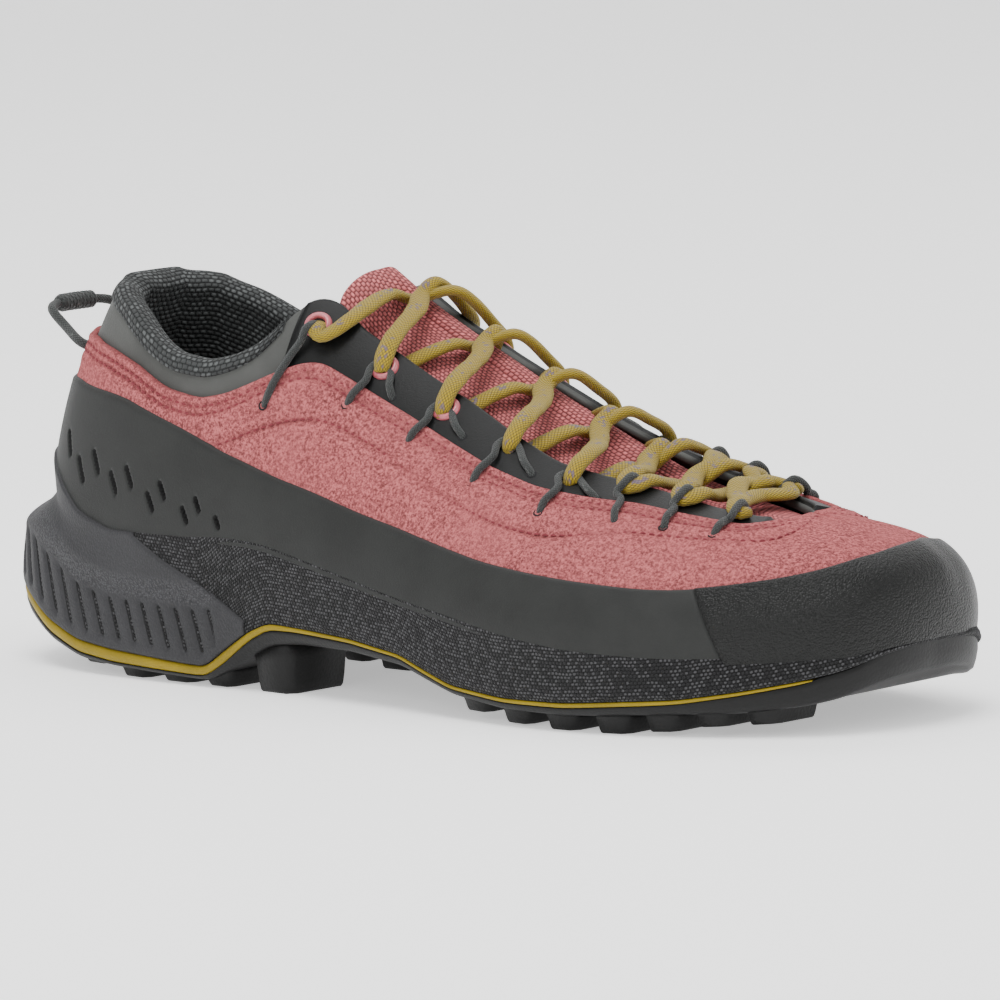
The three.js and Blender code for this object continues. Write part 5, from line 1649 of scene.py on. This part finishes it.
@dataclass
class Lacing:
    """Lace, cord loops, eyelets and the dark rings of painted shade where the cords enter."""

    wardrobe: Wardrobe
    outer: tuple[Row, ...] = (
        (4.82, .654), (5.57, .657), (6.28, .657), (7.04, .677), (7.75, .689), (8.31, .738),
        (8.97, .775), (9.75, .785),
    )
    inner: tuple[Row, ...] = (
        (4.98, .654), (5.62, .657), (6.22, .657), (6.82, .672), (7.42, .680), (8.02, .72),
        (8.66, .768), (9.34, .785),
    )
    legs: tuple[Row, ...] = (  # rear foot and front foot beside each apex
        (-.28, .424, .16, .60), (-.19, .519, .19, .60), (-.18, .521, .29, .615),
        (-.14, .509, .34, .625), (-.06, .521, .35, .655), (.17, .581, .44, .67),
        (.05, .62, .48, .70), (-.12, .635, .33, .70),
    )
    cord: float = 0.95
    half_width: float = 2.55
    half_thick: float = 1.35
    eyelet_radius: float = 3.6
    eyelet_hole: float = 1.9
    hole: tuple[float, float] = (1.05, 0.24)  # radius of a cord's hole and of its rim, a dark ring of painted shade
    dives: tuple[int, ...] = (1, 2, 3, 4)  # rows where the lace goes down through the stay
    last: int = 7
    ringed: int = 3  # rows with a moulded eyelet
    lace_step: float = 0.75

    def spot(self, side: Side, index: int) -> tuple[float, float]:
        """Returns the row and share of a lacing place."""
        return (self.outer if side is Side.OUTER else self.inner)[index]

    def at(self, side: Side, row: float, share: float, lift: float) -> Array:
        """Returns one point above the form."""
        return LAST.form(np.array(side.girth(row), float), np.array(share), lift)

    def share_of(self, side: Side, row: float, length: float) -> float:
        """Returns a length up the girth as a share of it."""
        return length / float(LAST.girth(np.array([side.girth(row)], float))[0])

    def row_of(self, side: Side, row: float, share: float, length: float) -> float:
        """Returns a length along the shoe as a part of a row."""
        gap = self.at(side, row + 0.1, share, 0) - self.at(side, row - 0.1, share, 0)
        return length / float(np.linalg.norm(gap)) * 0.2

    def beside(self, side: Side, index: int, ahead: float, up: float) -> tuple[float, float]:
        """Returns the row and share at lengths forward of a lacing place and up from it."""
        row, share = self.spot(side, index)
        return row + self.row_of(side, row, share, ahead), share + self.share_of(side, row, up)

    def way(self, side: Side, index: int, *moves: tuple[float, float, float]) -> list[Array]:
        """Returns points near a lacing place, each by its lengths forward, up and outwards."""
        return [self.at(side, *self.beside(side, index, ahead, up), lift)
                for ahead, up, lift in moves]

    def arrive(self, side: Side, index: int) -> list[Array]:
        """Returns a strand's way to a lacing place, ending under the stay or in a turn."""
        top = STAY_OUT + self.half_thick + 0.35
        if index in self.dives:
            return self.way(side, index, (-1.6, 7.0, top - 0.3), (-0.5, 1.6, top + 0.3),
                            (0.1, -1.6, 1.5), (0.9, -0.2, -2.2), (2.0, 5.0, -3.4))
        if index == self.last:
            return self.way(side, index, (-2.6, 5.0, top - 0.4), (-1.2, 0.6, top - 0.2),
                            (0.6, -0.2, top - 0.2), (2.4, 1.4, top - 0.4))
        return self.way(side, index, (-2.4, 5.0, top - 0.4), (-1.6, 0.8, top - 0.2),
                        (0.0, -1.2, top - 0.2), (1.7, 0.6, top - 0.2), (3.0, 4.2, top - 0.4))

    def begin(self, side: Side) -> list[Array]:
        """Returns a strand's start, hidden under the first eyelet and bulging over its rim."""
        top = STAY_OUT + self.half_thick + 0.6
        return self.way(side, 0, (-0.2, 0.4, -0.9), (0.2, -0.2, 1.4), (1.4, -2.0, top + 0.3),
                        (3.6, -2.6, top + 0.6), (6.2, 0.4, top + 0.3), (8.0, 5.0, top - 0.6))

    def cross(self, start: Side, index: int) -> list[Array]:
        """Returns the way over the tongue to the other side, over or under the other strand."""
        over = start is Side.INNER
        r0, r1 = self.spot(start, index)[0], self.spot(start.other, index + 1)[0]
        sink = float(Tongue.sink((r0 + r1) / 2 + 0.3))
        flank = {Side.OUTER: 0.72 * sink, Side.INNER: 0.12 * sink}
        first = 0.6 - flank[start] + (0 if index in self.dives else 0.8)
        return [self.at(start, r0 + (r1 - r0) * 0.4, 0.9, first),
                self.at(Side.OUTER, (r0 + r1) / 2, 1.0, 0.6 - sink + (2.7 if over else 0.2)),
                self.at(start.other, r0 + (r1 - r0) * 0.74, 0.9, 2.6 - flank[start.other])]

    def strand(self, start: Side) -> Array:
        """Returns the middle line of a strand from the first eyelet to the last row."""
        points, side = self.begin(start), start
        for index in range(self.last):
            points += self.cross(side, index)
            side = side.other
            points += self.arrive(side, index + 1)
        return smooth_line(points, self.lace_step)

    def lace(self) -> Piece:
        """Builds the lace: two strands that swap sides at each row, and the bar at the toe."""
        ends = [self.spot(side, self.last) for side in Side]
        first, final = (self.at(side, row - 0.02, share + 0.02, 3.0)
                        for side, (row, share) in zip(Side, ends))
        row = (ends[0][0] + ends[1][0]) / 2 + 0.02
        bar = [first, self.at(Side.OUTER, row, .86, 1.6), self.at(Side.OUTER, row, 1.0, 0.4),
               self.at(Side.INNER, row, .86, 1.6), final]
        lines = [self.strand(start) for start in Side] + [smooth_line(bar, self.lace_step)]
        lace = joined([self.ribbon("lace", line) for line in lines], "woven_lace")
        return self.wardrobe.dress(lace, LOOKS.lace, "lace")

    def ribbon(self, name: str, line: Array) -> Piece:
        """Returns a soft oval lace along a line, thickest where it is pressed round the cords."""
        run = np.arange(len(line)) * self.lace_step
        width = self.half_width * (1 + 0.05 * np.sin(run * 0.31) + 0.03 * np.sin(run * 0.83 + 1))
        bend = np.linalg.norm(np.gradient(unit(np.gradient(line, axis=0)), axis=0), axis=-1)
        width = width * (1 - 0.22 * np.clip(np.convolve(bend, np.ones(5) / 5, "same") / 0.3, 0, 1))
        width = width * (0.55 + 0.45 * smoothstep(np.minimum(run, run[::-1]), 0.0, 3.0))
        flat = np.minimum(self.half_thick / width, 0.9)
        return tube(name, line, width, 20, flat, self.outward(line))

    def outward(self, line: Array) -> Array:
        """Returns the direction away from the foot at each point of a line."""
        centre = np.zeros_like(line) + (0.0, 2.0, 22.0)
        centre[:, 0] = line[:, 0] - 12.0
        return unit(line - centre)

    def loop_line(self, side: Side, index: int, over: bool) -> Array:
        """Returns the middle line of a cord loop.

        Args:
            side: side of the shoe.
            index: lacing place.
            over: whether the cord lies over the lace and enters the throat.

        Returns:
            Its points, from the rear foot on.
        """
        row, share = self.spot(side, index)
        back, low, front, high = self.legs[index]
        foot, toe = (row + back, low), (row + front, high)
        crest = STAY_OUT + self.cord + (1.6 * self.half_thick if over else 0.2)
        base = SUEDE_OUT + self.cord * 0.75
        points = [self.at(side, foot[0] - 0.01, foot[1] - 0.012, -1.5), self.at(side, *foot, 0.9)]
        for ahead, up, lift in ((0.25, 0.2, 0.35), (0.6, 0.58, 0.2)):
            points.append(self.at(side, foot[0] + (row - foot[0]) * ahead,
                                  foot[1] + (share - foot[1]) * up, base + lift))
        if index == 0:
            points += self.way(side, index, (-1.6, -6.0, crest - 0.8), (-1.0, -3.0, crest + 0.4),
                               (-0.6, -0.6, 2.6), (-0.4, 0.4, -1.5))
        elif over:
            points += self.way(side, index, (-0.4, -4.0, crest - 1.3), (0.0, -1.6, crest),
                               (0.1, 1.2, crest + 0.2), (0.2, 3.4, 1.8), (0.2, 4.0, -1.0))
        else:
            points += self.way(side, index, (-2.9, -2.8, base - 0.2), (-2.3, -0.3, 1.6),
                               (0.0, 0.6, 1.25), (2.4, -0.3, 1.6))
            near = self.beside(side, index, 2.9, -1.6)
            half = (near[0] + toe[0]) / 2, (near[1] + toe[1]) / 2
            points += [self.at(side, *half, STAY_OUT + 1.0), self.at(side, *toe, 0.8),
                       self.at(side, toe[0] + 0.02, toe[1] - 0.02, -1.2)]
        return smooth_line(points, 0.6)

    def loops(self) -> None:
        """Builds the dark cord loops that hold the lace, each with the dark rings of painted shade
        where it enters.
        """
        for side in Side:
            for index, (back, low, front, high) in enumerate(self.legs):
                name, row = f"{side.label}_{index + 1}", self.spot(side, index)[0]
                over = index == 0 or index > self.dives[-1]
                piece = tube(f"cord_loop_{name}", self.loop_line(side, index, over), self.cord, 12)
                self.wardrobe.dress(piece, LOOKS.cord, f"lace_loop_{name}")
                rings = [self.ring(side, row + back, low, SUEDE_OUT - 0.02)]
                if not over:
                    rings.append(self.ring(side, row + front, high, STAY_OUT - 0.02))
                self.wardrobe.dress(joined(rings, f"cord_holes_{name}"), LOOKS.dark)

    def ring(self, side: Side, row: float, share: float, lift: float) -> Piece:
        """Returns a dark ring round a cord: painted shade of the hole it enters."""
        normal = LAST.normal(np.array(side.girth(row), float), np.array(share))
        line = self.at(side, row, share, lift) + way_round(normal, 19, True) * self.hole[0]
        return tube("ring", line, self.hole[1], 6, 0.6, np.repeat(normal[None], 19, 0))

    def eyelets(self) -> None:
        """Builds the glossy rings of the first rows."""
        hole, rim = self.eyelet_hole, self.eyelet_radius
        section = [(hole, -2.6), (hole + 0.35, -2.6), (hole + 0.5, 0.0), (rim, 0.0), (rim, 0.25),
                   (rim - 0.25, 0.75), (rim - 0.8, 1.1), (rim - 1.2, 1.15), (hole + 0.15, 0.85),
                   (hole, 0.4)]
        for side in Side:
            for index in range(self.ringed):
                row, share = self.spot(side, index)
                normal = LAST.normal(np.array(side.girth(row), float), np.array(share))
                centre = self.at(side, row, share, STAY_OUT - 0.15)
                way = way_round(normal, 40, False)
                points = np.stack([centre + way * wide + normal * high
                                   for wide, high in section], 1)
                columns, rows, _ = points.shape
                faces = grid_faces(columns, rows, True, loops=True)[:, AROUND]
                name = f"{side.label}_{index + 1}"
                piece = write_mesh(f"ring_{name}", points.reshape(-1, 3), faces,
                                   np.zeros((columns * rows, 2)))
                self.wardrobe.dress(tidy_mesh(piece), LOOKS.eyelet, f"eyelet_{name}")

    def build(self) -> None:
        """Builds all of the lacing."""
        self.eyelets()
        self.loops()
        self.lace()


@dataclass
class HeelPull:
    """The cord loop behind the heel with the sleeve wound on its bar."""

    wardrobe: Wardrobe
    radius: float = 1.2
    sleeve: float = 2.2
    width: float = 23.0
    stand: float = 16.0
    rise: float = 10.0
    row: float = 1.0
    share: float = 0.4545

    def build(self) -> Piece:
        """Builds the cord and its sleeve."""
        bar = LAST.point(np.array(0.0), np.array(self.share))
        legs = []
        for side in Side:
            u = np.array(side.girth(self.row), float)
            leg = [LAST.form(u, np.array(self.share), lift) for lift in (0.6, SUEDE_OUT + 2.2)]
            for back, wide, up in ((0.5, 1.1, 0.5), (0.85, 1.0, 0.9), (1.0, 0.6, 1.0)):
                across = side.value * 0.5 * self.width * wide
                leg.append(bar + np.array([-self.stand * back, across, self.rise * up]))
            legs.append(leg)
        line = smooth_line(legs[0] + legs[1][::-1], 0.7)
        cord = tube("pull_cord", line, self.radius, 14)
        ends = legs[0][-1], legs[1][-1]
        middle = (ends[0] + ends[1]) / 2 + np.array([-0.6, 0, 0])
        wound = smooth_line([ends[0], middle, ends[1]], 0.35)
        share = np.linspace(0, 1, len(wound))
        body = self.sleeve * np.sqrt(np.clip(1 - np.abs(2 * share - 1) ** 14, 0.08, 1))
        turns = 1 + 0.07 * np.sin(share * len(wound) * 1.6)
        self.wardrobe.dress(tube("pull_sleeve", wound, body * turns, 18), LOOKS.cord)
        return self.wardrobe.dress(cord, LOOKS.cord, "heel_loop")


@dataclass
class Studio:
    """Plain pale floor, soft lights and the camera."""

    target: tuple[float, float, float] = (7.758, 2.328, 46.06)
    distance: float = 2200.0
    focal: float = 324.0  # millimetres on a sensor 36 wide
    azimuth: float = 40.0
    elevation: float = 7.2
    roll: float = -1.5
    # each lamp's name, turn from the camera, rise, distance, size and power
    lamps: tuple[tuple[Any, ...], ...] = (
        ("key_top", -20, 74, 1.9, (1.1, 1.1), 34), ("front", -38, 26, 2.2, (1.5, 1.1), 15),
        ("toe_side", 62, 34, 2.0, (1.0, 1.2), 10), ("back_sweep", 180, 55, 2.3, (2.2, 1.0), 12),
    )
    glow: float = 0.55
    ambient: float = 0.6

    @staticmethod
    def toward(azimuth: float, elevation: float) -> Vector:
        """Returns the direction of two angles, azimuth 0 looking at the outer side."""
        a, e = math.radians(azimuth), math.radians(elevation)
        return Vector((math.sin(a) * math.cos(e), -math.cos(a) * math.cos(e), math.sin(e)))

    def floor(self) -> None:
        """Lays the pale floor with a wide sweep behind it."""
        profile = [(-6.0, 0.0), (2.2, 0.0)]
        profile += [(2.2 + 1.6 * math.sin(t), 1.6 - 1.6 * math.cos(t))
                    for t in np.linspace(0.1, math.pi / 2, 14)]
        profile += [(3.8, 6.0)]
        turn = Matrix.Rotation(math.radians(self.azimuth), 3, "Z")
        verts = [turn @ Vector((x, y, z)) for y, z in profile for x in (-9.0, 9.0)]
        faces = [(k, k + 1, k + 3, k + 2) for k in range(0, 2 * len(profile) - 2, 2)]
        mesh = bpy.data.meshes.new("floor")
        mesh.from_pydata(verts, [], faces)
        mesh.polygons.foreach_set("use_smooth", [True] * len(mesh.polygons))
        mesh.materials.append(Graph("floor_look").surface(
            Base_Color=srgb(250, 250, 250), Roughness=0.9, Specular_IOR_Level=0.1,
            Emission_Color=(1.0, 1.0, 1.0, 1.0), Emission_Strength=self.glow))
        linked("floor", mesh)

    def lamp(self, name: str, azimuth: float, elevation: float, distance: float,
             size: tuple[float, float], power: float) -> None:
        """Adds one soft lamp turned to the shoe."""
        light = bpy.data.lights.new(name, "AREA")
        light.shape, light.energy = "RECTANGLE", power
        light.size, light.size_y = size
        way = self.toward(self.azimuth + azimuth, elevation)
        lamp = linked(name, light)
        lamp.location = Vector((0.0, 0.0, 0.05)) + way * distance
        lamp.rotation_euler = way.to_track_quat("Z", "Y").to_euler()

    def camera(self) -> None:
        """Places the camera at the angle of the photo."""
        a, r = math.radians(self.azimuth), math.radians(self.roll)
        back = self.toward(self.azimuth, self.elevation)
        right = Vector((math.cos(a), math.sin(a), 0.0))
        up = back.cross(right)
        right, up = (right * math.cos(r) + up * math.sin(r), up * math.cos(r) - right * math.sin(r))
        data = bpy.data.cameras.new("camera")
        data.lens, data.sensor_width, data.clip_end = self.focal, 36.0, 50.0
        camera = linked("camera", data)
        spot = (Vector(self.target) + back * self.distance) * 0.001
        turned = Matrix((right, up, back)).transposed().to_4x4()
        camera.matrix_world = Matrix.Translation(spot) @ turned
        bpy.context.scene.camera = camera

    def build(self) -> None:
        """Sets the whole stage."""
        self.floor()
        for lamp in self.lamps:
            self.lamp(*lamp)
        world = bpy.data.worlds.new("studio")
        world.use_nodes = True
        shade = world.node_tree.nodes["Background"]
        shade.inputs[0].default_value = (1.0, 1.0, 1.0, 1.0)
        shade.inputs[1].default_value = self.ambient
        bpy.context.scene.world = world
        self.camera()


def main() -> None:
    """Builds every piece of the shoe over its solids and sets the stage."""
    logging.basicConfig(level=logging.INFO, format="%(name)s %(message)s")
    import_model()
    wardrobe = Wardrobe()
    sole = Sole(wardrobe)
    sole.build()
    UpperSide(wardrobe).build(sole)
    Collar(wardrobe).build()
    Tongue(wardrobe).build()
    Lacing(wardrobe).build()
    HeelPull(wardrobe).build()
    Studio().build()


if __name__ == "__main__":
    main()
